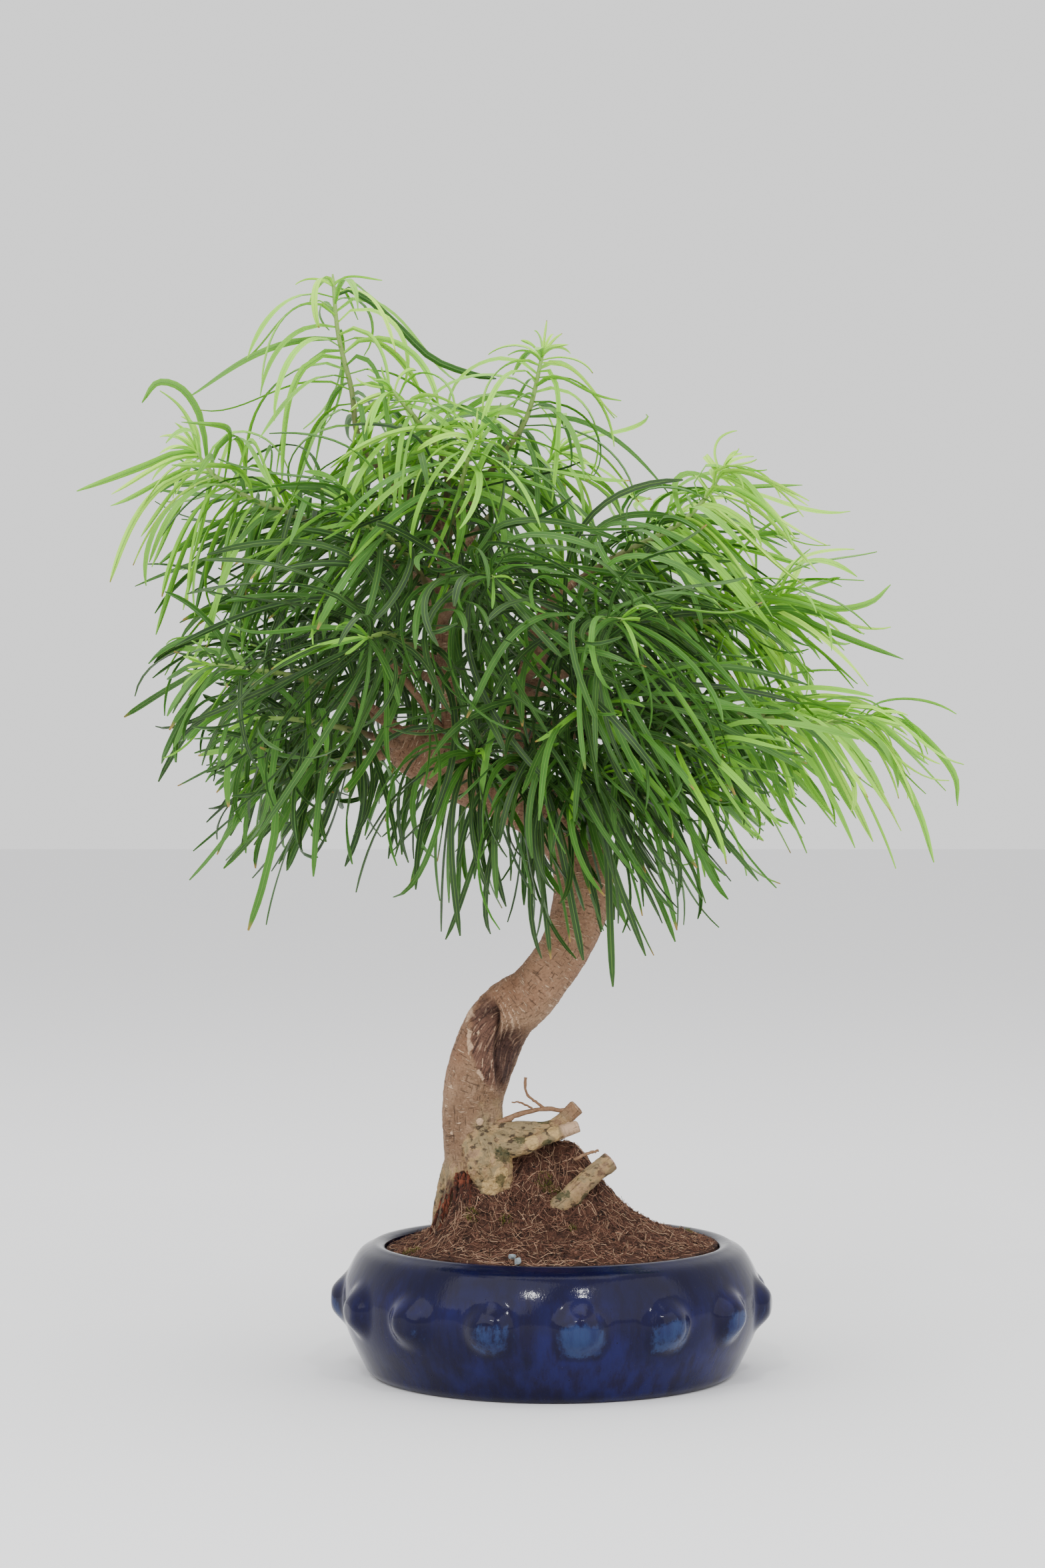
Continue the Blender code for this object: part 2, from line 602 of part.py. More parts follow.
def make_soil(finish, cutters):
    """Fills the pot, with a clearance to its wall, and is cut to take the trunk and roots."""
    base = FLOOR_THICKNESS + SCREEN_THICKNESS + 2 * GAP
    wall = [(radius - WALL_GAP, height) for radius, height in reversed(POT_INNER)]
    wall[0] = (wall[0][0], base)
    profile = [(0, base), *wall, (MOUTH_RADIUS - WALL_GAP, SOIL_EDGE)]
    profile += [(radius, POT_HEIGHT) for radius in SOIL_RINGS] + [(0, POT_HEIGHT)]
    mesh = turned(profile, SOIL_SIDES)
    for vert in mesh.verts:
        if vert.co.z > (SOIL_EDGE + POT_HEIGHT) / 2:
            vert.co.z = heap_height(vert.co.x, vert.co.y)
    soil = object_from(mesh, "soil", finish)
    combined(soil, cutters, "DIFFERENCE")
    largest_body(soil)
    smooth_shading(soil)
    return soil


def scar_depth(point):
    """How deep the old wound is cut into the trunk at a point of its surface."""
    axis = SCAR_AXIS.normalized()
    off = point - SCAR_CENTRE
    along = off.dot(axis) / SCAR_HALF_LENGTH
    aside = (off - axis * off.dot(axis)).length / SCAR_HALF_WIDTH
    return SCAR_DEPTH * max(0.0, 1 - along**2) * math.exp(-(aside**2))


def split_line(shoot):
    """The woody and the green part of a shoot's line, and the way their flat meeting faces look."""
    whole = smooth_line(shoot.line, 60)
    lengths = [0.0]
    for a, b in zip(whole, whole[1:]):
        lengths.append(lengths[-1] + float(np.linalg.norm(b - a)))

    def at(length):
        return Vector([float(np.interp(length, lengths, [p[k] for p in whole])) for k in range(3)])

    cut = shoot.bark * lengths[-1]
    facing = (at(cut + 1) - at(cut - 1)).normalized()
    woody = [at(0), at(cut / 2), at(cut)]
    step = (lengths[-1] - cut) / (SHOOT_SAMPLES - 1)
    green = [at(cut) + facing * GAP] + [at(cut + step * i) for i in range(1, SHOOT_SAMPLES)]
    return woody, green, facing


def line_at(line, share):
    """The point and the heading at a share of the way along a polyline's points."""
    place = share * (len(line) - 1)
    first = min(int(place), len(line) - 2)
    step = line[first + 1] - line[first]
    return line[first] + step * (place - first), step.normalized()


def leaf_count(green, shoot):
    length = sum((b - a).length for a, b in zip(green, green[1:]))
    return int(shoot.leafage * (LEAVES_AT_TIP + LEAVES_PER_MM * length))


def leaf_frames(draw, green, shoot, number, count):
    """One leaf: its centre line, as points with their heading and the side vector of the blade."""
    share = FIRST_LEAF + (LAST_LEAF - FIRST_LEAF) * ((number + 0.5) / count) ** CROWDING
    age = 1 - share
    root, stem = line_at(green, share)
    side = stem.cross(UP).normalized()
    turn = number * GOLDEN_TURN + draw.uniform(-TURN_SCATTER, TURN_SCATTER)
    outward = Matrix.Rotation(turn, 3, stem) @ side
    lean = TIP_LEAN + FOOT_LEAN * age**0.35 * shoot.spread + draw.uniform(-LEAN_SCATTER, LEAN_SCATTER)
    lean = math.radians(lean)
    heading = stem * math.cos(lean) + outward * math.sin(lean)
    grown = YOUNG_LENGTH + (1 - YOUNG_LENGTH) * min(1, age / FULL_GROWN)
    step = LEAF_LENGTH * shoot.size * grown * draw.uniform(*LENGTH_RANGE) / LEAF_STEPS
    hang = shoot.droop * math.exp(draw.gauss(0, HANG_SCATTER)) / HANG_LENGTH
    curl = draw.gauss(0, CURL_SCATTER)
    if draw.random() < HOOK_CHANCE:
        curl += draw.choice((-HOOK, HOOK))
    roll = draw.gauss(0, ROLL_SCATTER)
    twist = draw.gauss(0, TWIST_SCATTER)
    level = heading.cross(UP)
    level = level.normalized() if level.length > 0.05 else side
    blade = Matrix.Rotation(roll, 3, heading) @ level
    pull = Vector((shoot.sweep, 0, -1)).normalized()
    point = root.copy()
    frames = []
    for i in range(LEAF_STEPS + 1):
        along = i / LEAF_STEPS
        blade = (blade - heading * blade.dot(heading)).normalized()
        twisted = Matrix.Rotation(twist * along, 3, heading) @ blade
        frames.append((point.copy(), heading.copy(), twisted))
        point = point + heading * step
        bend = hang * step * (1 + ARCH_OVER * max(0.0, heading.z))
        heading = (heading + (pull - heading * pull.dot(heading)) * bend).normalized()
        heading = Matrix.Rotation(curl * 3 * along**2 / LEAF_STEPS, 3, twisted) @ heading
    return frames


def stray_frames(green, stray):
    """The centre line of a leaf that is placed by hand. Its flat side looks to the front."""
    root, _ = line_at(green, stray.share)
    line = [Vector(point) for point in smooth_line([root, *stray.line], LEAF_STEPS + 1)]
    ways = headings(line)
    return list(zip(line, ways, carried_sides(ways, ways[0].cross(STRAY_FACING))))


def leaf_width(along):
    """Half the blade's width at a share of its length, as a share of its greatest half width."""
    widening = min(1.0, 0.42 + 2.6 * along)
    narrowing = 1 - 0.88 * max(0.0, (along - 0.62) / 0.38) ** 2
    return widening * narrowing


def all_leaves():
    """Every leaf of every shoot, from one seeded draw for each."""
    leaves = {}
    for name, shoot in SHOOTS.items():
        draw = random.Random(f"{name} {shoot.seed}")
        _, green, _ = split_line(shoot)
        count = leaf_count(green, shoot)
        leaves[name] = [leaf_frames(draw, green, shoot, number, count) for number in range(count)]
        leaves[name] += [stray_frames(green, stray) for stray in STRAYS if stray.shoot == name]
    return leaves


class Crowd:
    """What is in place so far, as balls along its centre lines, to keep new leaves clear of it."""

    def __init__(self):
        self.centres = np.zeros((0, 3))
        self.radii = np.zeros(0)
        self.owners = np.zeros(0, int)

    def add(self, points, radii, owner):
        self.centres = np.vstack([self.centres, np.array(points, float)])
        self.radii = np.concatenate([self.radii, np.array(radii, float)])
        self.owners = np.concatenate([self.owners, np.full(len(points), owner)])

    def clear_of(self, points, chosen):
        """Whether balls of a leaf's half width at these points clear the chosen balls."""
        if not chosen.any() or not len(points):
            return True
        apart = np.linalg.norm(np.array(points, float)[:, None] - self.centres[None, chosen], axis=2)
        return (apart - self.radii[None, chosen]).min() > LEAF_HALF_WIDTH + LEAF_CLEARANCE

    def takes(self, points, owner):
        """Whether a leaf fits. Its first few points may touch the shoot that carries it."""
        clear = self.clear_of(points, self.owners != owner)
        return clear and self.clear_of(points[NEAR_STEM:], self.owners == owner)


def densely(line, radii):
    """Points about BALL_PITCH apart along a line, with the radius at each."""
    points, sizes = [], []
    for a, b, first, last in zip(line, line[1:], radii, radii[1:]):
        count = max(1, int((Vector(b) - Vector(a)).length / BALL_PITCH))
        for i in range(count):
            points.append(Vector(a).lerp(Vector(b), i / count))
            sizes.append(first + (last - first) * i / count)
    return points + [Vector(line[-1])], sizes + [radii[-1]]


def stem_radii(count):
    return [STEM_BASE_RADIUS + (STEM_TIP_RADIUS - STEM_BASE_RADIUS) * i / (count - 1) for i in range(count)]


def reach(blade):
    """How far a leaf's tip lies from the middle of the crown."""
    return (blade[-1][0] - CROWN_CENTRE).length


def chosen_leaves(leaves, parts):
    """The leaves that the solid model carries: spread evenly along each shoot, and clear of all else."""
    crowd = Crowd()
    wood = len(SHOOTS)
    for knots in [TRUNK_LINE, *LEADERS.values()]:
        rows = smooth_line(knots, 60)
        crowd.add([row[:3] for row in rows], [row[3] for row in rows], wood)
    for owner, (woody, green, _) in enumerate(parts.values()):
        crowd.add(*densely(woody, [BARK_RADIUS] * len(woody)), wood)
        crowd.add(*densely(green, stem_radii(len(green))), owner)
    chosen = {name: [] for name in leaves}
    for owner, (name, blades) in enumerate(leaves.items()):
        strays = sum(stray.shoot == name for stray in STRAYS)
        usual = len(blades) - strays
        wanted = round(SOLID_SHARE * usual)
        windows = [[blade] for blade in blades[usual:]]
        windows += [blades[k * usual // wanted : (k + 1) * usual // wanted] for k in range(wanted)]
        for window in windows:
            for blade in sorted(window, key=reach, reverse=True):
                line = [blade[step][0] for step in SOLID_STEPS]
                points, _ = densely(line, [0.0] * len(line))
                if crowd.takes(points, owner):
                    beyond = points[NEAR_STEM:]
                    crowd.add(beyond, [LEAF_HALF_WIDTH] * len(beyond), owner)
                    chosen[name].append(blade)
                    break
    return chosen


def make_blade(frames):
    """A strap with a keel under its middle, from its root inside the stem to its tip."""
    mesh = bmesh.new()
    sections = []
    _, heading, side = frames[SOLID_STEPS[1]]
    up = 1 if side.cross(heading).z > 0 else -1
    for step in SOLID_STEPS:
        point, heading, side = frames[step]
        over = side.cross(heading).normalized() * up
        along = step / LEAF_STEPS
        half = LEAF_HALF_WIDTH * leaf_width(along)
        sections.append([point + side * half, point - side * half, point - over * LEAF_KEEL])
    sweep(mesh, sections, pointed=True)
    return object_from(mesh, "blade")


def make_shoot(name, green, facing, blades, finish):
    """A green stem with its leaves fused to it."""
    radii = stem_radii(len(green))
    mesh = bmesh.new()
    sections = tube_sections(green, radii, STEM_SIDES)
    sections[0] = flat_ring(green[0], facing, radii[0], STEM_SIDES)
    sweep(mesh, sections)
    shoot = object_from(mesh, name, finish)
    # The exact solver leaves open edges where several leaves meet in one stem.
    combined(shoot, [make_blade(frames) for frames in blades], "UNION", "MANIFOLD")
    largest_body(shoot)
    return shoot


def make_tree(finish, parts):
    """Trunk, roots, leaders and the woody foot of every shoot, fused into one."""
    trunk = tube("tree", TRUNK_LINE, TRUNK_SAMPLES, TRUNK_SIDES, carve=scar_depth, finish=finish)
    limbs = [tube(name, knots, ROOT_SAMPLES, ROOT_SIDES) for name, knots in ROOTS.items()]
    limbs += [tube(name, knots, LEADER_SAMPLES, LEADER_SIDES) for name, knots in LEADERS.items()]
    for woody, _, facing in parts.values():
        mesh = bmesh.new()
        sections = tube_sections(woody, [BARK_RADIUS] * len(woody), BARK_SIDES)
        sections[-1] = flat_ring(woody[-1], facing, BARK_RADIUS, BARK_SIDES)
        sweep(mesh, sections)
        limbs.append(object_from(mesh, "limb"))
    combined(trunk, limbs, "UNION")
    smooth_shading(trunk)
    return trunk


def soil_cutters():
    """Copies of what stands in the soil, larger by the clearance."""
    grow = 1.25 * GAP
    cutters = [tube("socket", TRUNK_LINE, TRUNK_SAMPLES, TRUNK_SIDES, grow=grow)]
    standing = [*ROOTS.values(), CROSSING_ROOT]
    cutters += [tube("socket", knots, ROOT_SAMPLES, ROOT_SIDES, grow=grow) for knots in standing]
    return cutters


def make_chips(finish, soil):
    """Drops each chip of grit onto the soil's surface."""
    points = [vert.co for vert in soil.data.vertices]
    ground = BVHTree.FromPolygons(points, [face.vertices for face in soil.data.polygons])
    for name, ((x, y), size) in CHIPS.items():
        surface = ground.ray_cast(Vector((x, y, 2 * POT_HEIGHT)) * MM, DOWN)[0].z / MM
        place = Matrix.Translation((x, y, surface + size[2] / 2 + 1.5 * GAP)) @ Matrix.Diagonal((*size, 1))
        mesh = bmesh.new()
        bmesh.ops.create_icosphere(mesh, subdivisions=1, radius=0.5, matrix=place)
        object_from(mesh, name, finish)


def main():
    clear_scene()
    bark = material("bark", (0.36, 0.27, 0.19), 0.85)
    leaf = material("leaf", (0.16, 0.42, 0.07), 0.5)
    glaze = material("glaze", (0.02, 0.03, 0.16), 0.12)
    peat = material("peat", (0.13, 0.065, 0.04), 0.95)
    plastic = material("screen", (0.03, 0.03, 0.03), 0.6)
    grit = material("grit", (0.6, 0.66, 0.66), 0.8)
    parts = {name: split_line(shoot) for name, shoot in SHOOTS.items()}
    make_pot(glaze)
    make_screens(plastic)
    soil = make_soil(peat, soil_cutters())
    tube("crossing_root", CROSSING_ROOT, ROOT_SAMPLES, ROOT_SIDES, finish=bark)
    make_tree(bark, parts)
    chosen = chosen_leaves(all_leaves(), parts)
    for name, (_, green, facing) in parts.items():
        make_shoot("shoot_" + name, green, facing, chosen[name], leaf)
    make_chips(grit, soil)


main()
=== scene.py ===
"""Looks of a golden larch bonsai in a round, studded, glazed pot.

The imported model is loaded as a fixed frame, and each finer piece made here stands where its solid
stands. Lengths are in millimetres, and MM turns them into metres where a mesh is made. X runs to
the right, Y away from the viewer and Z up. The origin is the centre of the pot's flat underside.
"""

import logging
import math
from dataclasses import dataclass, field
from enum import Enum
from random import Random
from typing import Iterable, NamedTuple, Optional, Sequence, Union

import bmesh
import bpy
import numpy as np
from bmesh.types import BMesh
from bpy.types import Material, Mesh, Object
from mathutils import Matrix, Vector, noise


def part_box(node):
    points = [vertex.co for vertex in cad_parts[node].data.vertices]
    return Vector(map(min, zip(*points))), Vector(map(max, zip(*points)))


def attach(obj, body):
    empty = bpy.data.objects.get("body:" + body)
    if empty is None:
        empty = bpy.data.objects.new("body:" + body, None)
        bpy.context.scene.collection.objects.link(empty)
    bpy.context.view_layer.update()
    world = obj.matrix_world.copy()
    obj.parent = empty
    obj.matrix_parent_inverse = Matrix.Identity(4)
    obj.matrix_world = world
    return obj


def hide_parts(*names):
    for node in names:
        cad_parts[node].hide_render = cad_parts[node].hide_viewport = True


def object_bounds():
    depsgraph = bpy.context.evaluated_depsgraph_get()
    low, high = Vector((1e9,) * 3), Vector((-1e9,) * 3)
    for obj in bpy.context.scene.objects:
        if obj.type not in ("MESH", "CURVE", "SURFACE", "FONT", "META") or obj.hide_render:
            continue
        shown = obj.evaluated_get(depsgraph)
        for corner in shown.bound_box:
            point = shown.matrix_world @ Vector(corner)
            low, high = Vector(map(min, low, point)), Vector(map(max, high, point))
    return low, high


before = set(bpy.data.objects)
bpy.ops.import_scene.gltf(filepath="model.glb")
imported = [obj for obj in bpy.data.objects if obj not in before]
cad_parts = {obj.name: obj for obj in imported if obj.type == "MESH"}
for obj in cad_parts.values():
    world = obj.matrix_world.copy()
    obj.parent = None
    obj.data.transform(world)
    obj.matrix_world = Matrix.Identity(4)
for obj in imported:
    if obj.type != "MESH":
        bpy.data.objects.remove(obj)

LOG = logging.getLogger("bonsai")
MM = 0.001
BODY = "root"
UP = Vector((0, 0, 1))
FIRST_SIDE = (0.13, 1, 0.07)  # along no limb, so every ring can start from it

CAD_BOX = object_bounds()

Array = np.ndarray
Pair = tuple[float, float]
Point = tuple[float, float, float]
Colour = Point


def srgb(red: float, green: float, blue: float) -> Colour:
    """A colour given as it looks on a screen, 0 to 255, as linear light."""
    shares = (red / 255, green / 255, blue / 255)
    return tuple(((c + 0.055) / 1.055) ** 2.4 if c > 0.04 else c / 12.92 for c in shares)


class Slot(Enum):
    """The material slots of the record."""

    GLAZE = "glaze"
    SCREEN = "screen"
    PEAT = "peat"
    BARK = "bark"
    GRIT = "grit"
    LEAF = "leaf"


class Wire:
    """A node's output that takes part in Python expressions."""

    def __init__(self, recipe: "Recipe", socket: bpy.types.NodeSocket) -> None:
        """Keeps the recipe that the node belongs to, and its socket."""
        self.recipe = recipe
        self.socket = socket

    def _maths(self, operation: str, *values: "Value") -> "Wire":
        """A Math node of that operation on the values."""
        return self.recipe.node("ShaderNodeMath", {"operation": operation}, dict(enumerate(values)))

    def __add__(self, other: "Value") -> "Wire":
        """Sum."""
        return self._maths("ADD", self, other)

    __radd__ = __add__

    def __sub__(self, other: "Value") -> "Wire":
        """Difference."""
        return self._maths("SUBTRACT", self, other)

    def __rsub__(self, other: "Value") -> "Wire":
        """Difference, the other way round."""
        return self._maths("SUBTRACT", other, self)

    def __mul__(self, other: "Value") -> "Wire":
        """Product."""
        return self._maths("MULTIPLY", self, other)

    __rmul__ = __mul__

    def __abs__(self) -> "Wire":
        """Size without its sign."""
        return self._maths("ABSOLUTE", self)

    def over(self, low: float, high: float) -> "Wire":
        """A soft step: 0 at low and 1 at high, or the reverse if low is the larger."""
        settings = {"interpolation_type": "SMOOTHSTEP"}
        return self.recipe.node("ShaderNodeMapRange", settings, {"Value": self, 1: low, 2: high})


Value = Union[Wire, float]


class Recipe:
    """A material in the making: one Principled shader and the nodes that feed it."""

    def __init__(self, name: str, constants: dict[str, object]) -> None:
        """Starts the material.

        Args:
            name: The material's name.
            constants: Values for the shader's own sockets.
        """
        self.material = bpy.data.materials.new(name)
        self.material.use_nodes = True
        self.tree = self.material.node_tree
        self.shader = self.tree.nodes["Principled BSDF"]
        for socket, value in constants.items():
            self.shader.inputs[socket].default_value = value

    def node(
        self, kind: str, settings: Optional[dict] = None, inputs: Optional[dict] = None, output: object = 0
    ) -> Wire:
        """Adds one node.

        Args:
            kind: The node's type.
            settings: Its properties, set first. "stops" fills a colour ramp.
            inputs: Values or wires for its sockets, by name or number.
            output: The name or number of the output that is returned.

        Returns:
            The wire from that output.
        """
        made = self.tree.nodes.new(kind)
        for key, value in (settings or {}).items():
            if key == "stops":
                ramp = made.color_ramp
                while len(ramp.elements) < len(value):
                    ramp.elements.new(0.5)
                for element, (place, colour) in zip(ramp.elements, value):
                    element.position = place
                    element.color = (*colour, 1)
            else:
                setattr(made, key, value)
        for key, value in (inputs or {}).items():
            if isinstance(value, Wire):
                self.tree.links.new(value.socket, made.inputs[key])
            elif isinstance(value, tuple) and len(value) == 3 and len(made.inputs[key].default_value) == 4:
                made.inputs[key].default_value = (*value, 1)
            else:
                made.inputs[key].default_value = value
        return Wire(self, made.outputs[output])

    def finished(self, colour: Wire, rough: Wire, relief: Optional[Wire] = None) -> Material:
        """Feeds the shader, and hands over the material."""
        for socket, wire in (("Base Color", colour), ("Roughness", rough), ("Normal", relief)):
            if wire:
                self.tree.links.new(wire.socket, self.shader.inputs[socket])
        return self.material

    def place(self, scale: Colour = (1, 1, 1), where: Optional[Wire] = None) -> Wire:
        """The point's place on the piece, in metres, or another vector, stretched by scale."""
        where = where or self.node("ShaderNodeTexCoord", output="Object")
        return self.node("ShaderNodeMapping", inputs={"Vector": where, "Scale": scale})

    def attribute(self, name: str) -> Wire:
        """A number that the mesh carries at each point."""
        return self.node("ShaderNodeAttribute", {"attribute_name": name}, output="Fac")

    def joined(self, x: Value, y: Value, z: Value = 0.0) -> Wire:
        """A vector from three numbers."""
        return self.node("ShaderNodeCombineXYZ", inputs={0: x, 1: y, 2: z})

    def clouds(self, where: Wire, scale: float, detail: float = 4.0, rough: float = 0.55) -> Wire:
        """Noise from 0 to 1 at a vector."""
        inputs = {"Vector": where, "Scale": scale, "Detail": detail, "Roughness": rough}
        return self.node("ShaderNodeTexNoise", inputs=inputs)

    def noise(self, scale: float, detail: float = 4.0, rough: float = 0.55) -> Wire:
        """Noise from 0 to 1 at the point's place."""
        return self.clouds(self.place(), scale, detail, rough)

    def cells(self, scale: float) -> Wire:
        """Distance to the nearest of a scatter of points."""
        return self.node("ShaderNodeTexVoronoi", inputs={"Vector": self.place(), "Scale": scale})

    def layered(self, colour: object, *layers: tuple[Value, object]) -> Wire:
        """A colour under layers of others, each with its own mask."""
        for mask, paint in layers:
            colour = self.mixed(mask, colour, paint)
        return colour

    def ramp(self, amount: Wire, stops: Sequence[tuple[float, Colour]]) -> Wire:
        """A colour from a ramp of stops."""
        return self.node("ShaderNodeValToRGB", {"stops": stops}, {"Fac": amount})

    def mixed(self, amount: Value, first: object, second: object) -> Wire:
        """A colour between two, by amount."""
        return self.node("ShaderNodeMix", {"data_type": "RGBA"}, {0: amount, 6: first, 7: second}, output=2)

    def relief(self, height: Wire, depth: float, below: Optional[Wire] = None) -> Wire:
        """A bump of that depth in millimetres, on top of another."""
        inputs = {"Height": height, "Distance": depth * MM, "Strength": 1.0}
        if below:
            inputs["Normal"] = below
        return self.node("ShaderNodeBump", inputs=inputs)


@dataclass(frozen=True)
class Glaze:
    """Cobalt glaze, streaked where it ran, paler turquoise where thick on the studs, and painted shade on the
    upper wall.
    """

    deep: Colour = srgb(20, 16, 46)
    rich: Colour = srgb(23, 24, 70)
    dark: Colour = srgb(12, 11, 34)
    turquoise: Colour = srgb(38, 54, 92)
    thick: Colour = srgb(27, 34, 74)
    clay: Colour = srgb(104, 74, 56)

    def made(self) -> Material:
        """Builds the material."""
        r = Recipe("cobalt glaze", {"Specular IOR Level": 0.16})
        runs = r.clouds(r.place((150, 150, 22)), 1.0, 6.0, 0.62)
        pools = r.noise(34.0, 3.0)
        fine = r.clouds(r.place((1, 1, 0.35)), 1100.0, 2.0)
        torn = r.clouds(r.place((1, 1, 0.5)), 260.0, 7.0, 0.75)
        patch = r.attribute("patch")
        ragged = (patch + (torn - 0.5) * 1.7).over(0.34, 0.75)
        halo = (patch + (torn - 0.5) * 0.5).over(0.02, 0.25)
        bare = r.attribute("bare")
        colour = r.layered(
            r.mixed(runs.over(0.36, 0.62), self.deep, self.rich),
            (pools.over(0.6, 0.42) * 0.6, self.dark),
            (fine.over(0.58, 0.75) * 0.3, self.rich),
            # painted shade: the upper wall darkened as if it were out of the light
            (r.attribute("shoulder") * 0.7, self.dark),
            (halo * 0.5, self.dark),
            (ragged * 0.85, r.mixed(runs.over(0.3, 0.6), self.thick, self.turquoise)),
            (r.cells(190.0).over(0.085, 0.05) * 0.8, self.dark),
            (bare, self.clay),
        )
        pits = r.cells(310.0).over(0.07, 0.02)
        relief = r.relief(fine * 0.3 + pools - pits * 1.5, 0.12, r.relief(runs, 0.1))
        return r.finished(colour, 0.07 + fine * 0.05 + bare * 0.7, relief)


@dataclass(frozen=True)
class LeafSkin:
    """A strap leaf: dark where old, yellow-green where young; painted shade deep in the crown, painted light
    high up.
    """

    # the darkest stop: old leaves, and painted shade deep in the crown
    old: Colour = srgb(20, 44, 18)
    middle: Colour = srgb(62, 114, 34)
    young: Colour = srgb(134, 202, 50)
    newest: Colour = srgb(188, 244, 78)
    rib: Colour = srgb(126, 172, 72)
    under: Colour = srgb(76, 120, 58)
    scorched: Colour = srgb(150, 116, 60)

    def made(self) -> Material:
        """Builds the material."""
        glow = {"Subsurface Weight": 0.1, "Subsurface Scale": 0.002}
        r = Recipe("strap leaf", {**glow, "Specular IOR Level": 0.25})
        r.shader.inputs["Subsurface Radius"].default_value = (0.5, 1.0, 0.2)
        strap = r.node("ShaderNodeUVMap", {"uv_map": "strap"})
        along = r.node("ShaderNodeSeparateXYZ", inputs={0: strap}, output="X")
        across = r.node("ShaderNodeSeparateXYZ", inputs={0: strap}, output="Y")
        off = abs(across - 0.5)
        tone = r.attribute("tone")
        drift = r.noise(28.0, 2.0)
        fresh = r.attribute("fresh") + (tone - 0.5) * 0.34 + (drift - 0.5) * 0.3
        stops = ((0.04, self.old), (0.37, self.middle), (0.73, self.young), (0.98, self.newest))
        grain = r.clouds(r.joined(along * 3.0, across * 24.0, tone * 40.0), 1.0, 3.0)
        colour = r.layered(
            r.ramp(fresh, stops),
            (grain.over(0.4, 0.75) * 0.14, self.rib),
            (off.over(0.09, 0.02) * 0.3, self.rib),
            (off.over(0.43, 0.5) * 0.22, self.rib),
            (r.attribute("under").over(0.5, 1.0) * 0.4, self.under),
            (along.over(0.93, 1.0) * tone.over(0.86, 0.9), self.scorched),
        )
        return r.finished(colour, 0.36 + grain * 0.2, r.relief(off.over(0.1, 0.0) + grain * 0.5, 0.12))


@dataclass(frozen=True)
class StemSkin:
    """A young stem: pale green at its tip, browner and rougher towards its foot."""

    tip: Colour = srgb(140, 180, 84)
    middle: Colour = srgb(112, 128, 68)
    foot: Colour = srgb(84, 60, 42)

    def made(self) -> Material:
        """Builds the material."""
        r = Recipe("green stem", {"Specular IOR Level": 0.35})
        along = r.attribute("fresh")
        rough = r.noise(900.0, 4.0)
        drift = along + (r.noise(120.0) - 0.5) * 0.5
        colour = r.ramp(drift, ((0.0, self.foot), (0.45, self.middle), (1.0, self.tip)))
        colour = r.mixed(rough.over(0.6, 0.8) * 0.4, colour, self.foot)
        return r.finished(colour, 0.45 + rough * 0.3, r.relief(rough, 0.25))


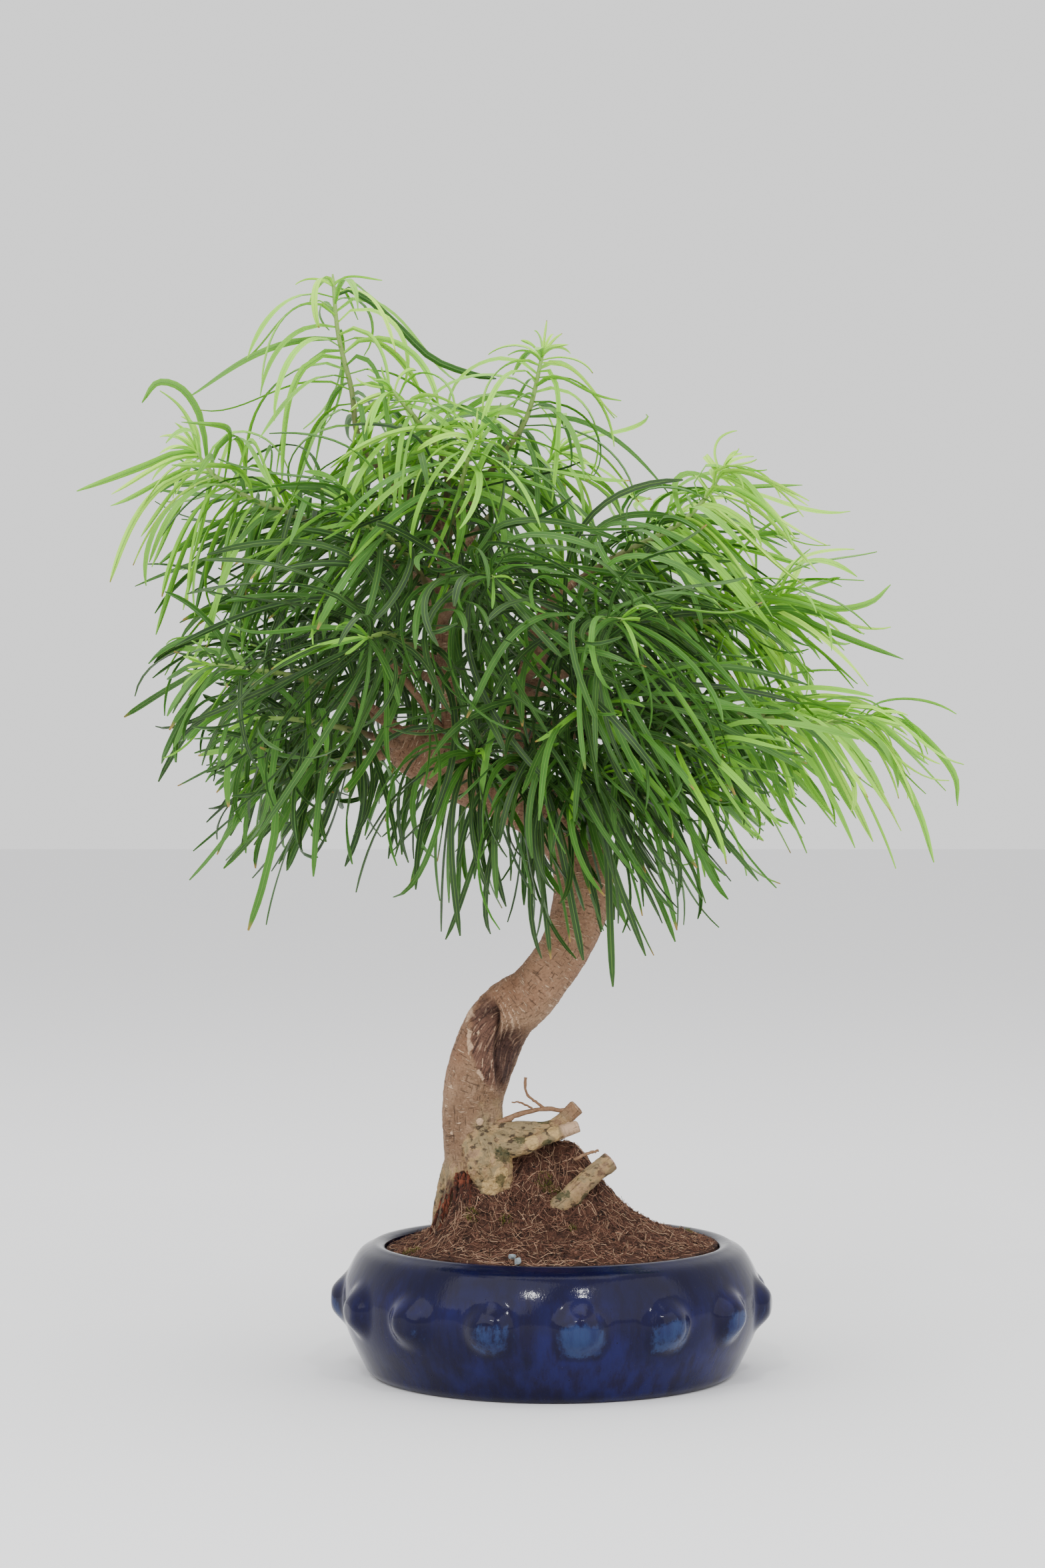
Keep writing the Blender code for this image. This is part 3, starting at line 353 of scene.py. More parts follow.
@dataclass(frozen=True)
class Bark:
    """Smooth grey-brown bark with pale pores, cracked and mossy at its base, and painted shade in an old open
    wound.
    """

    grey: Colour = srgb(146, 118, 92)
    brown: Colour = srgb(116, 89, 67)
    ruddy: Colour = srgb(124, 87, 64)
    pale: Colour = srgb(186, 156, 128)
    dark: Colour = srgb(40, 29, 24)
    ochre: Colour = srgb(160, 134, 92)
    crust: Colour = srgb(184, 154, 104)
    moss: Colour = srgb(38, 50, 26)
    lichen: Colour = srgb(130, 114, 84)
    wound: Colour = srgb(104, 74, 60)
    # dark streaks and rotten wood, and painted shade in the wound's cleft and recesses
    hollow: Colour = srgb(50, 32, 28)
    cut: Colour = srgb(168, 136, 122)

    def made(self) -> Material:
        """Builds the material."""
        r = Recipe("bark", {"Specular IOR Level": 0.25})
        limb = r.node("ShaderNodeAttribute", {"attribute_name": "limb"}, output="Vector")
        pores = r.clouds(r.place((0.22, 0.22, 1.5), limb), 0.75, 2.0)
        veins = r.clouds(r.place((1.3, 1.3, 0.14), limb), 1.0, 5.0)
        lines = r.clouds(r.place((0.9, 0.9, 0.1), limb), 1.0, 5.0)
        fine = r.noise(900.0, 6.0, 0.65)
        broad = r.noise(46.0, 4.0)
        blotch = r.noise(150.0, 5.0, 0.6)
        old = r.attribute("old")
        young = 1 - old
        cracks = veins.over(0.6, 0.7)
        dashes = pores.over(0.6, 0.68) * young
        shade = pores.over(0.36, 0.3) * young
        patch = r.noise(120.0, 6.0, 0.65)
        creases = r.clouds(r.place((1, 1, 1.6)), 260.0, 5.0, 0.6)
        crusted = r.layered(
            r.mixed(patch.over(0.44, 0.54), self.ochre, self.lichen),
            (patch.over(0.42, 0.34) * 0.8, self.brown),
            (creases.over(0.53, 0.62) * 0.85, self.dark),
        )
        spot = (r.attribute("crust") + (creases - 0.5) * 0.9).over(0.45, 0.6)
        green = (r.attribute("mossy") * 0.8 + (creases - 0.5) * 1.2 + (fine - 0.5) * 1.8).over(0.3, 0.6)
        wound = r.attribute("wound")
        exposed = r.layered(
            r.mixed(lines.over(0.5, 0.62) * 0.8, self.wound, self.hollow),
            (lines.over(0.42, 0.34) * 0.5, self.pale),
            (fine.over(0.52, 0.7) * 0.5, self.dark),
        )
        callus = (r.attribute("callus") + (blotch - 0.5) * 0.7).over(0.3, 0.6)
        ends = r.mixed(fine.over(0.42, 0.6), self.cut, self.brown)
        colour = r.layered(
            r.mixed(broad.over(0.38, 0.62), self.grey, self.brown),
            (r.attribute("ruddy") * (0.3 + blotch * 0.5), self.ruddy),
            (blotch.over(0.54, 0.68) * 0.2, self.pale),
            (blotch.over(0.44, 0.32) * 0.4, self.brown),
            (fine.over(0.5, 0.7) * 0.45, self.dark),
            (fine.over(0.44, 0.3) * 0.4, self.pale),
            (cracks * 0.5, self.dark),
            (dashes * 0.85, self.pale),
            (shade * 0.5, self.dark),
            (old * (0.25 + patch.over(0.36, 0.5) * 0.7), crusted),
            (spot * 0.9, r.mixed(fine.over(0.4, 0.62), self.crust, self.ochre)),
            (green * 0.7, self.moss),
            (wound, exposed),
            (callus * 0.85, self.pale),
            # dark rotten wood, and painted shade in the wound's cleft and recesses
            (r.attribute("hollow") * (0.55 + lines.over(0.3, 0.55) * 0.45), self.hollow),
            (r.attribute("cut"), r.mixed(blotch.over(0.5, 0.62) * 0.7, ends, self.dark)),
        )
        bumps = fine * 0.7 + dashes * 0.8 - shade * 0.7 - cracks * 0.6 + (lines - 0.5) * wound * 1.8
        return r.finished(colour, 0.62 + fine * 0.3, r.relief(bumps + (patch - creases) * old * 1.3, 0.6))


@dataclass(frozen=True)
class Peat:
    """Soil, fibres and crumbs: one dark, reddish ground, and a tone for each loose scrap."""

    black: Colour = srgb(20, 14, 12)
    earth: Colour = srgb(72, 48, 39)
    rust: Colour = srgb(108, 73, 58)
    straw: Colour = srgb(164, 134, 108)

    def made(self) -> Material:
        """Builds the material of the ground."""
        r = Recipe("peat", {"Specular IOR Level": 0.15})
        lumps = r.noise(170.0, 6.0, 0.65)
        fine = r.noise(1400.0, 6.0, 0.7)
        threads = r.clouds(r.place((900, 120, 400)), 1.0, 4.0)
        others = r.clouds(r.place((130, 1000, 500)), 1.0, 4.0)
        stops = ((0.4, self.black), (0.51, self.earth), (0.64, self.rust))
        colour = r.ramp(lumps * 0.55 + fine * 0.45, stops)
        colour = r.mixed(threads.over(0.62, 0.7) * 0.6, colour, self.straw)
        colour = r.mixed(others.over(0.63, 0.7) * 0.6, colour, self.rust)
        return r.finished(colour, 0.85 + fine * 0.1, r.relief(fine + lumps * 2.0 + threads, 0.9))

    def scraps(self) -> Material:
        """Builds the material of fibres and crumbs, each coloured by its own tone."""
        r = Recipe("peat fibre", {"Specular IOR Level": 0.2})
        tone = r.attribute("tone")
        fine = r.noise(1500.0, 3.0)
        stops = ((0.0, self.black), (0.3, self.earth), (0.62, self.rust), (1.0, self.straw))
        colour = r.mixed(fine.over(0.5, 0.8) * 0.4, r.ramp(tone, stops), self.earth)
        return r.finished(colour, 0.7 + fine * 0.2, r.relief(fine, 0.15))


@dataclass(frozen=True)
class Moss:
    """Cushions of moss: yellow-green, with darker feet."""

    dark: Colour = srgb(46, 54, 22)
    bright: Colour = srgb(120, 126, 44)

    def made(self) -> Material:
        """Builds the material."""
        r = Recipe("moss", {"Specular IOR Level": 0.2})
        tone = r.attribute("tone") * 0.6 + r.noise(700.0) * 0.4
        return r.finished(r.ramp(tone, ((0.2, self.dark), (0.8, self.bright))), 0.7 + tone * 0.2)


@dataclass(frozen=True)
class Stone:
    """Pale blue-grey grit with darker grains."""

    pale: Colour = srgb(136, 146, 150)
    grain: Colour = srgb(88, 96, 102)

    def made(self) -> Material:
        """Builds the material."""
        r = Recipe("grit", {"Specular IOR Level": 0.4})
        fine = r.noise(1800.0, 5.0, 0.7)
        relief = r.relief(fine, 0.2)
        return r.finished(r.mixed(fine.over(0.52, 0.68), self.pale, self.grain), 0.5 + fine * 0.3, relief)


@dataclass(frozen=True)
class Plastic:
    """Dark moulded plastic, dusted with peat."""

    black: Colour = srgb(30, 30, 32)
    dust: Colour = srgb(92, 66, 50)

    def made(self) -> Material:
        """Builds the material."""
        r = Recipe("screen plastic", {"Specular IOR Level": 0.4})
        dusty = r.noise(420.0, 5.0)
        relief = r.relief(dusty, 0.05)
        colour = r.mixed(dusty.over(0.5, 0.7) * 0.6, self.black, self.dust)
        return r.finished(colour, 0.45 + dusty * 0.4, relief)


@dataclass(frozen=True)
class Paper:
    """The studio floor: near white, matt."""

    white: Colour = (0.86, 0.86, 0.87)

    def made(self) -> Material:
        """Builds the material."""
        r = Recipe("studio paper", {"Specular IOR Level": 0.1})
        fine = r.noise(6.0, 2.0)
        return r.finished(r.mixed(fine * 0.04, self.white, (0.8, 0.8, 0.82)), 0.85 + fine * 0.05)


@dataclass(frozen=True)
class DeadWood:
    """Rotten red-brown wood with dark streaks along it."""

    red: Colour = srgb(104, 54, 38)
    black: Colour = srgb(34, 24, 20)
    pale: Colour = srgb(150, 104, 74)

    def made(self) -> Material:
        """Builds the material."""
        r = Recipe("dead wood", {"Specular IOR Level": 0.2})
        streaks = r.clouds(r.place((900, 900, 90)), 1.0, 4.0)
        fine = r.noise(1300.0, 4.0)
        broad = r.noise(130.0, 3.0)
        colour = r.mixed(streaks.over(0.42, 0.6), self.red, self.black)
        colour = r.mixed(broad.over(0.42, 0.6) * 0.7, colour, self.black)
        colour = r.mixed(streaks.over(0.38, 0.28) * 0.5, colour, self.pale)
        return r.finished(colour, 0.8 + fine * 0.15, r.relief(streaks * 1.5 + fine * 0.5, 0.5))


# Trunk: x, y, z, radius along its centre line, from inside the soil to the old cut.
TRUNK_LINE = [
    (-30, 2, 44, 12.5), (-31.5, 2, 64, 14.5), (-33, 2, 84, 15.0), (-34.8, 1, 104, 14.0),
    (-35.7, 0, 122, 13.6), (-32, -2, 137, 14.6), (-26, -4, 152, 14.8), (-19.5, -6, 162, 14.0),
    (-9.3, -7, 170, 12.2), (-1.5, -7, 179.5, 11.3), (6, -5, 191, 11.5), (12, -2, 206, 12.6),
    (14.4, 2, 221, 13.4), (11, 6, 234.5, 13.4), (2, 8, 246, 13.0), (-16, 7, 257, 12.4),
    (-37, 4, 266.5, 12.4), (-53.5, 1, 275, 12.6), (-66, -1, 281, 10.6), (-71.5, -1, 283.5, 6.0),
]
# Roots, cut root stubs and dead twigs, fused to the trunk: x, y, z, radius.
ROOTS = {
    "upper_stub": [(-30, -4, 107, 6.5), (-14, -7, 108, 5.2), (0, -7, 110, 3.6), (11.6, -6, 119.7, 3.7)],
    "lower_stub": [(-30, -8, 104, 6.5), (-16, -14, 102, 4.4), (-5.6, -14, 105, 3.2), (12, -12, 111.5, 2.9)],
    "front_root": [(-33, -5, 105, 9.0), (-29, -11, 96, 10.5), (-26, -11, 84, 8.5), (-24, -9, 68, 6.0)],
    "bark_root": [(-40, -5, 98, 5.0), (-44, -7, 84, 3.7), (-48, -9, 71, 3.0), (-51, -10, 58, 2.4)],
    "back_root": [(-39, 6, 98, 8.0), (-45, 19, 84, 6.2), (-50, 28, 68, 4.4), (-52, 32, 58, 3.2)],
    "side_root": [(-31, 8, 96, 7.0), (-19, 21, 84, 5.2), (-10, 31, 70, 3.8), (-6, 36, 60, 2.8)],
    "thin_root": [(-24, -7, 112, 1.6), (-14, -8, 116.5, 1.3), (-3, -8, 118.6, 1.2), (7, -6.5, 117.5, 1.2)],
    "dead_twig": [(-2, -8, 117.8, 0.8), (-7, -8.5, 121.6, 0.8), (-11.4, -9, 126, 0.7), (-12, -9, 133, 0.7)],
}
# This root stands in the heap by itself: it joins the others below the soil.
CROSSING_ROOT = [
    (-5, -14, 62, 4.4), (1.5, -19.5, 74, 4.8), (8.6, -19.5, 81, 5.0), (16, -15, 88, 4.4),
    (26, -11, 95.5, 4.5),
]
THICK_ROOTS = [name for name in ROOTS if name not in ("thin_root", "dead_twig")]

# The two leaders that carry the branches: x, y, z, radius.
LEADERS = {
    "left_leader": [
        (-45, 3, 268, 5.0), (-46, 0, 296, 3.8), (-48, -1, 317, 3.4), (-49.8, 0, 341, 3.1),
        (-49, 1, 362, 2.8), (-52, 2, 382, 2.4),
    ],
    "right_leader": [(-16, 6, 258, 4.0), (-14, 2, 284, 3.2), (-14, 0, 304, 2.8), (-10, -3, 328, 2.4)],
}


class Shoot(NamedTuple):
    """A leafy shoot, from inside the wood that carries it out to its tip."""

    line: list  # x, y, z
    bark: float = 0.3  # this share of the line, at its foot, is woody and belongs to the tree
    droop: float = 1.0  # how readily the leaves hang
    spread: float = 1.0  # how far they stand off the stem
    size: float = 1.0  # the length of the leaves, as a share of the usual
    leafage: float = 1.0
    seed: int = 0
    sweep: float = 0.0  # how far to the right the leaves are drawn for each step that they hang down


SHOOTS = {
    "leader_tip": Shoot(
        [
            (-52, 2, 380), (-62, 1, 391), (-76, 0, 404), (-87, -2, 420), (-90, -3, 441), (-96, -4, 466),
            (-98.5, -3, 493),
        ],
        bark=0.22, droop=1.2, spread=0.8, size=0.85, leafage=0.8, seed=4,
    ),
    "top_left": Shoot(
        [(-49, 1, 366), (-47, -9, 390), (-48, -18, 408), (-59, -24, 424), (-72, -28, 439)],
        droop=1.2, spread=1.1, size=0.9, leafage=0.7, seed=2,
    ),
    "top_middle": Shoot(
        [(-49, 0, 352), (-46, -18, 374), (-40, -36, 396), (-34, -46, 417)],
        droop=1.1, size=0.85, leafage=1.1, seed=11, sweep=-0.5,
    ),
    "top_right": Shoot(
        [(-50, 1, 372), (-38, -4, 390), (-22, -12, 411), (-11, -17, 428), (-4, -22, 456)],
        droop=0.9, size=0.85, leafage=0.9, seed=2, sweep=-0.1,
    ),
    "right_high": Shoot(
        [(-10, -3, 326), (0, -8, 346), (28, -15, 365), (54, -19, 378), (68, -20, 391), (77, -22, 406)],
        droop=1.45, spread=1.1, size=0.85, leafage=1.1, seed=5, sweep=0.8,
    ),
    "right_middle": Shoot(
        [(-12, -1, 318), (15, 3, 330), (54, 8, 338), (82, 10, 338), (108, 8, 351)],
        bark=0.28, droop=0.55, spread=0.9, size=0.85, leafage=1.2, seed=23, sweep=0.6,
    ),
    "right_low": Shoot(
        [
            (-14, 1, 288), (10, -5, 292), (38, -11, 299), (64, -13, 299), (90, -12, 295),
            (120, -11, 291), (146, -10, 295),
        ],
        bark=0.28, droop=1.45, spread=0.5, size=0.8, seed=2, sweep=0.5,
    ),
    "right_front": Shoot(
        [(-14, 1, 280), (6, -16, 285), (30, -38, 289), (52, -49, 282), (72, -54, 280)],
        bark=0.35, droop=0.8, size=0.85, leafage=0.9, seed=8, sweep=0.8,
    ),
    "bend_front": Shoot(
        [(2, 4, 246), (7, -18, 259), (15, -36, 267), (22, -50, 269)],
        bark=0.4, droop=1.2, spread=0.85, size=0.95, leafage=1.3, seed=20, sweep=0.4,
    ),
    "right_under": Shoot(
        [(9, 4, 238), (28, -14, 253), (48, -24, 261), (66, -30, 263)],
        bark=0.35, droop=0.6, spread=1.05, size=0.8, leafage=0.6, seed=16, sweep=0.8,
    ),
    "left_high": Shoot(
        [
            (-49.5, 0, 344), (-76, -7, 364), (-108, -13, 381), (-132, -16, 390), (-150, -15, 401),
            (-160, -16, 414),
        ],
        bark=0.28, droop=1.2, spread=0.8, size=0.9, leafage=1.2, seed=4, sweep=-0.2,
    ),
    "left_front": Shoot(
        [(-49, 1, 333), (-58, -20, 356), (-70, -38, 371), (-86, -51, 378)],
        droop=0.65, spread=0.9, size=0.95, leafage=1.3, seed=22, sweep=-0.8,
    ),
    "left_middle": Shoot(
        [(-60, 1, 280), (-82, -9, 299), (-112, -20, 311), (-136, -26, 315), (-153, -28, 317)],
        bark=0.28, droop=0.85, spread=0.95, size=0.85, leafage=0.7, seed=9,
    ),
    "left_low": Shoot(
        [(-62, -4, 279), (-86, -22, 287), (-110, -36, 292), (-132, -42, 293)],
        droop=0.8, spread=0.85, size=0.8, leafage=0.7, seed=4,
    ),
    "left_under": Shoot(
        [(-66, -1, 281), (-88, 0, 273), (-108, 0, 270), (-128, -3, 272)],
        droop=0.45, spread=0.7, size=0.8, leafage=0.8, seed=2, sweep=-0.1,
    ),
    "centre_low": Shoot(
        [(-37, 0, 266), (-37, -22, 272), (-35, -40, 276), (-33, -54, 277)],
        bark=0.42, droop=1.2, size=0.95, leafage=1.1, seed=3, sweep=0.2,
    ),
    "centre_under": Shoot(
        [(-16, 2, 256), (-14, -20, 262), (-10, -36, 268), (-6, -52, 271)],
        bark=0.42, droop=1.15, spread=0.7, leafage=1.1, seed=2, sweep=0.1,
    ),
    "centre_right": Shoot(
        [(-14, 0, 303), (-3, -22, 303), (8, -42, 300), (20, -60, 296)],
        bark=0.35, droop=0.45, spread=1.1, size=1.15, leafage=1.3, seed=9, sweep=1.0,
    ),
    "front_middle": Shoot(
        [(-49.5, 0, 338), (-41, -28, 347), (-32, -56, 353), (-25, -84, 352)],
        droop=0.9, spread=1.15, size=1.1, leafage=1.1, seed=20, sweep=1.2,
    ),
    "front_left": Shoot(
        [(-48, -1, 316), (-60, -28, 324), (-71, -56, 329), (-80, -82, 326)],
        droop=0.45, spread=0.9, size=1.15, seed=13, sweep=-0.8,
    ),
    "front_right": Shoot(
        [(-12, -2, 312), (2, -30, 325), (15, -58, 334), (30, -84, 334)],
        droop=0.7, size=1.1, leafage=1.2, seed=3, sweep=0.5,
    ),
    "back_top": Shoot(
        [(-51, 2, 374), (-54, 22, 396), (-58, 44, 412), (-62, 62, 428)],
        droop=1.3, spread=0.8, size=0.85, seed=12, sweep=0.5,
    ),
    "back_high": Shoot(
        [(-49, 1, 358), (-31, 28, 384), (-10, 52, 404), (4, 70, 422)],
        droop=1.1, size=0.9, seed=13, sweep=-0.2,
    ),
    "back_right_high": Shoot(
        [(-10, -2, 322), (14, 28, 350), (42, 56, 374), (62, 74, 392)],
        droop=0.7, spread=0.8, seed=21, sweep=1.2,
    ),
    "back_right": Shoot(
        [(-13, 0, 307), (28, 32, 322), (74, 50, 334), (112, 58, 346)],
        bark=0.28, droop=0.5, spread=1.2, size=0.8, leafage=1.3, seed=10, sweep=-0.3,
    ),
    "back_right_low": Shoot(
        [(-14, 2, 284), (28, 26, 290), (78, 34, 289), (122, 36, 294)],
        bark=0.28, droop=0.7, spread=0.7, size=0.8, seed=15, sweep=0.6,
    ),
    "back_left_high": Shoot(
        [(-49.5, 1, 350), (-72, 32, 366), (-95, 56, 376), (-115, 70, 386)],
        droop=0.55, spread=0.55, size=1.15, leafage=1.2, seed=22, sweep=-0.9,
    ),
    "back_left": Shoot(
        [(-60, 3, 280), (-86, 28, 300), (-115, 42, 316), (-142, 50, 331)],
        bark=0.28, droop=0.6, spread=0.55, leafage=1.1, seed=11,
    ),
    "back_left_middle": Shoot(
        [(-47, 0, 308), (-68, 40, 318), (-88, 72, 325), (-101, 97, 326)],
        droop=0.9, spread=0.9, size=0.9, leafage=1.1, sweep=-0.4,
    ),
    "back_left_low": Shoot(
        [(-66, 2, 281), (-88, 26, 278), (-108, 44, 275), (-126, 58, 273)],
        droop=0.5, spread=0.8, size=0.8, seed=14, sweep=-0.8,
    ),
    "back_middle": Shoot(
        [(-49.5, 1, 340), (-47, 44, 352), (-43, 80, 360), (-40, 112, 364)],
        spread=0.9, size=1.05, leafage=1.2, seed=17,
    ),
    "back_centre": Shoot(
        [(-13, 0, 314), (5, 46, 328), (20, 82, 338), (30, 114, 342)],
        spread=1.15,
    ),
    "back_under": Shoot(
        [(7, 8, 240), (30, 38, 260), (58, 66, 275), (82, 88, 283)],
        droop=0.7, spread=1.15, size=0.8, leafage=1.1, seed=10,
    ),
    "back_low": Shoot(
        [(-36, 6, 266), (-34, 42, 280), (-32, 76, 288), (-30, 104, 292)],
        spread=1.15, size=1.05, leafage=1.2, seed=11,
    ),
}


class Stray(NamedTuple):
    """A leaf that stands out from the crown's outline, and so is placed along a listed line."""

    shoot: str
    share: float  # of the shoot's stem, from its foot
    line: list  # x, y, z, towards the tip


STRAYS = [
    Stray("leader_tip", 0.97, [(-110, -6, 492), (-127, -9, 488), (-142, -11, 486), (-149, -12, 474)]),
    Stray("leader_tip", 0.9, [(-88, 0, 486), (-70, 2, 471), (-54, 4, 456), (-36, 5, 449), (-25, 5, 447)]),
    Stray("left_high", 0.97, [(-168, -17, 411), (-180, -18, 406), (-193, -18, 401), (-212, -18, 394)]),
    Stray("left_high", 0.9, [(-156, -20, 426), (-164, -22, 439), (-175, -22, 442), (-182, -22, 433)]),
    Stray("left_low", 0.9, [(-128, -44, 276), (-121, -46, 250), (-126, -46, 222), (-133, -45, 200)]),
    Stray("right_middle", 0.9, [(112, 6, 348), (128, 4, 343), (144, 4, 346), (153, 4, 354)]),
    Stray("right_middle", 0.7, [(104, 4, 342), (122, 0, 334), (142, -2, 326), (158, -3, 320)]),
    Stray("right_low", 0.97, [(158, -10, 292), (172, -10, 280), (182, -11, 266), (183, -12, 252)]),
    Stray("right_low", 0.85, [(140, -12, 286), (154, -14, 270), (164, -15, 250), (170, -16, 229)]),
    Stray("bend_front", 0.9, [(22, -52, 254), (24, -54, 226), (25, -55, 198), (26, -55, 176)]),
    Stray("centre_under", 0.97, [(-2, -56, 258), (4, -60, 234), (9, -62, 208), (13, -63, 188)]),
]
STRAY_FACING = Vector((0.0, 1.0, 0.4))


def smooth_line(points: Sequence[Sequence[float]], count: int) -> Array:
    """A Catmull-Rom curve through points.

    Args:
        points: The curve's own points, with as many columns as are wanted.
        count: How many points to return, evenly spaced in parameter.

    Returns:
        One row for each point.
    """
    knots = np.array(points, float)
    knots = np.vstack([2 * knots[0] - knots[1], knots, 2 * knots[-1] - knots[-2]])
    line = []
    for place in np.linspace(0, len(points) - 1, count):
        first = min(int(place), len(points) - 2)
        t = place - first
        a, b, c, d = knots[first : first + 4]
        bend = 2 * a - 5 * b + 4 * c - d
        line.append(0.5 * (2 * b + (c - a) * t + bend * t**2 + (3 * b - a - 3 * c + d) * t**3))
    return np.array(line)


def headings(line: Sequence) -> list[Vector]:
    """The direction of travel at each point of a line."""
    ahead = [Vector(line[min(i + 1, len(line) - 1)]) - Vector(line[max(i - 1, 0)]) for i in range(len(line))]
    return [step.normalized() for step in ahead]


def carried_sides(directions: Sequence[Vector], first: Sequence[float]) -> list[Vector]:
    """A side vector for each direction, carried along with no more turn than the line itself has."""
    sides = []
    side = Vector(first)
    for heading in directions:
        side = (side - heading * side.dot(heading)).normalized()
        sides.append(side.copy())
    return sides


def soft_step(value: float, low: float, high: float) -> float:
    """0 at low and 1 at high, with no corner between."""
    t = min(max((value - low) / (high - low), 0.0), 1.0)
    return t * t * (3 - 2 * t)


def ring_frames(line: Sequence, radii: Sequence[float]) -> list[Matrix]:
    """A frame for each ring of a tube: its place, its turn and its size."""
    ways = headings(line)
    frames = []
    for centre, way, side, radius in zip(line, ways, carried_sides(ways, FIRST_SIDE), radii):
        other = way.cross(side)
        turn = Matrix((side * radius, other * radius, way * max(radius, 0.05))).transposed()
        frames.append(Matrix.Translation(Vector(centre)) @ turn.to_4x4())
    return frames


def add_tube(mesh: BMesh, line: Sequence, radii: Sequence[float], sides: int) -> None:
    """Extrudes a closed tube, ring by ring, along a line.

    Args:
        mesh: The mesh that it is added to.
        line: The centre line, in millimetres.
        radii: The radius at each point.
        sides: How many sides the tube has.
    """
    frames = ring_frames(line, radii)
    ring = bmesh.ops.create_circle(mesh, segments=sides, radius=1, matrix=frames[0])["verts"]
    edges = list({edge for vert in ring for edge in vert.link_edges})
    bmesh.ops.contextual_create(mesh, geom=edges)
    for near, far in zip(frames, frames[1:]):
        grown = bmesh.ops.extrude_edge_only(mesh, edges=edges)["geom"]
        ring = [part for part in grown if isinstance(part, bmesh.types.BMVert)]
        edges = [part for part in grown if isinstance(part, bmesh.types.BMEdge)]
        bmesh.ops.transform(mesh, matrix=far @ near.inverted(), verts=ring)
    bmesh.ops.contextual_create(mesh, geom=edges)


def turned(profile: Sequence[Sequence[float]], steps: int) -> BMesh:
    """Spins a profile of radius and height, in millimetres, round the upright axis."""
    mesh = bmesh.new()
    verts = [mesh.verts.new((0, -radius, height)) for radius, height in profile]
    shape = verts + [mesh.edges.new(pair) for pair in zip(verts, verts[1:])]
    centre, axis = (0, 0, 0), (0, 0, 1)
    bmesh.ops.spin(mesh, geom=shape, cent=centre, axis=axis, angle=math.tau, steps=steps, use_merge=True)
    bmesh.ops.remove_doubles(mesh, verts=mesh.verts, dist=0.0005)
    return mesh


def frozen(mesh: BMesh, name: str) -> Mesh:
    """A bmesh as a mesh. The bmesh is freed."""
    data = bpy.data.meshes.new(name)
    mesh.to_mesh(data)
    mesh.free()
    return data


def linked(data: Mesh, name: str, materials: Sequence, degrees: float) -> Object:
    """A smooth shaded object of a mesh, in the scene. Edges sharper than this stay sharp."""
    for material in materials:
        data.materials.append(material)
    data.shade_smooth()
    data.set_sharp_from_angle(angle=math.radians(degrees))
    made = bpy.data.objects.new(name, data)
    bpy.context.scene.collection.objects.link(made)
    return made


def piece_from(
    mesh: BMesh, name: str, material: Material, degrees: float = 50
) -> Object:
    """Turns a bmesh, in millimetres, into a smooth shaded object in metres.

    Args:
        mesh: The mesh, which is freed.
        name: The object's name.
        material: Its material.
        degrees: Edges sharper than this stay sharp.

    Returns:
        The object.
    """
    bmesh.ops.recalc_face_normals(mesh, faces=mesh.faces)
    bmesh.ops.scale(mesh, vec=(MM, MM, MM), verts=mesh.verts)
    return linked(frozen(mesh, name), name, [material], degrees)


def evaluated(piece: Object) -> None:
    """Applies the modifiers of a piece to its mesh."""
    graph = bpy.context.evaluated_depsgraph_get()
    data = bpy.data.meshes.new_from_object(piece.evaluated_get(graph))
    piece.modifiers.clear()
    piece.data = data


def points_of(data: Mesh) -> Array:
    """The places of a mesh's vertices, in millimetres."""
    flat = np.empty(len(data.vertices) * 3, np.float32)
    data.vertices.foreach_get("co", flat)
    return flat.reshape(-1, 3).astype(float) / MM


def move_points(data: Mesh, places: Array) -> None:
    """Puts a mesh's vertices at these places, in millimetres."""
    data.vertices.foreach_set("co", (places * MM).astype(np.float32).ravel())
    data.update()


def carry(data: Mesh, name: str, values: Sequence[float]) -> None:
    """Gives each vertex of a mesh a number, or a vector, that its material reads."""
    values = np.asarray(values, np.float32)
    kind, key = ("FLOAT", "value") if values.ndim == 1 else ("FLOAT_VECTOR", "vector")
    made = data.attributes.new(name, kind, "POINT")
    made.data.foreach_set(key, values.ravel())


def roughness_at(place: Sequence[float], size: float, octaves: int = 4) -> float:
    """Noise of about -1 to 1 at a place in millimetres, with lumps of that size."""
    return noise.fractal(Vector(place) / size, 0.9, 2.1, octaves)


def dress(piece: Object, slot: Slot, *nodes: str) -> Object:
    """Lets a piece ride on the body, hides the solids of the nodes that it stands for, and reports it."""
    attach(piece, BODY)
    if nodes:
        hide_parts(*nodes)
    LOG.info("%s: %d faces", piece.name, len(piece.data.polygons))
    return piece


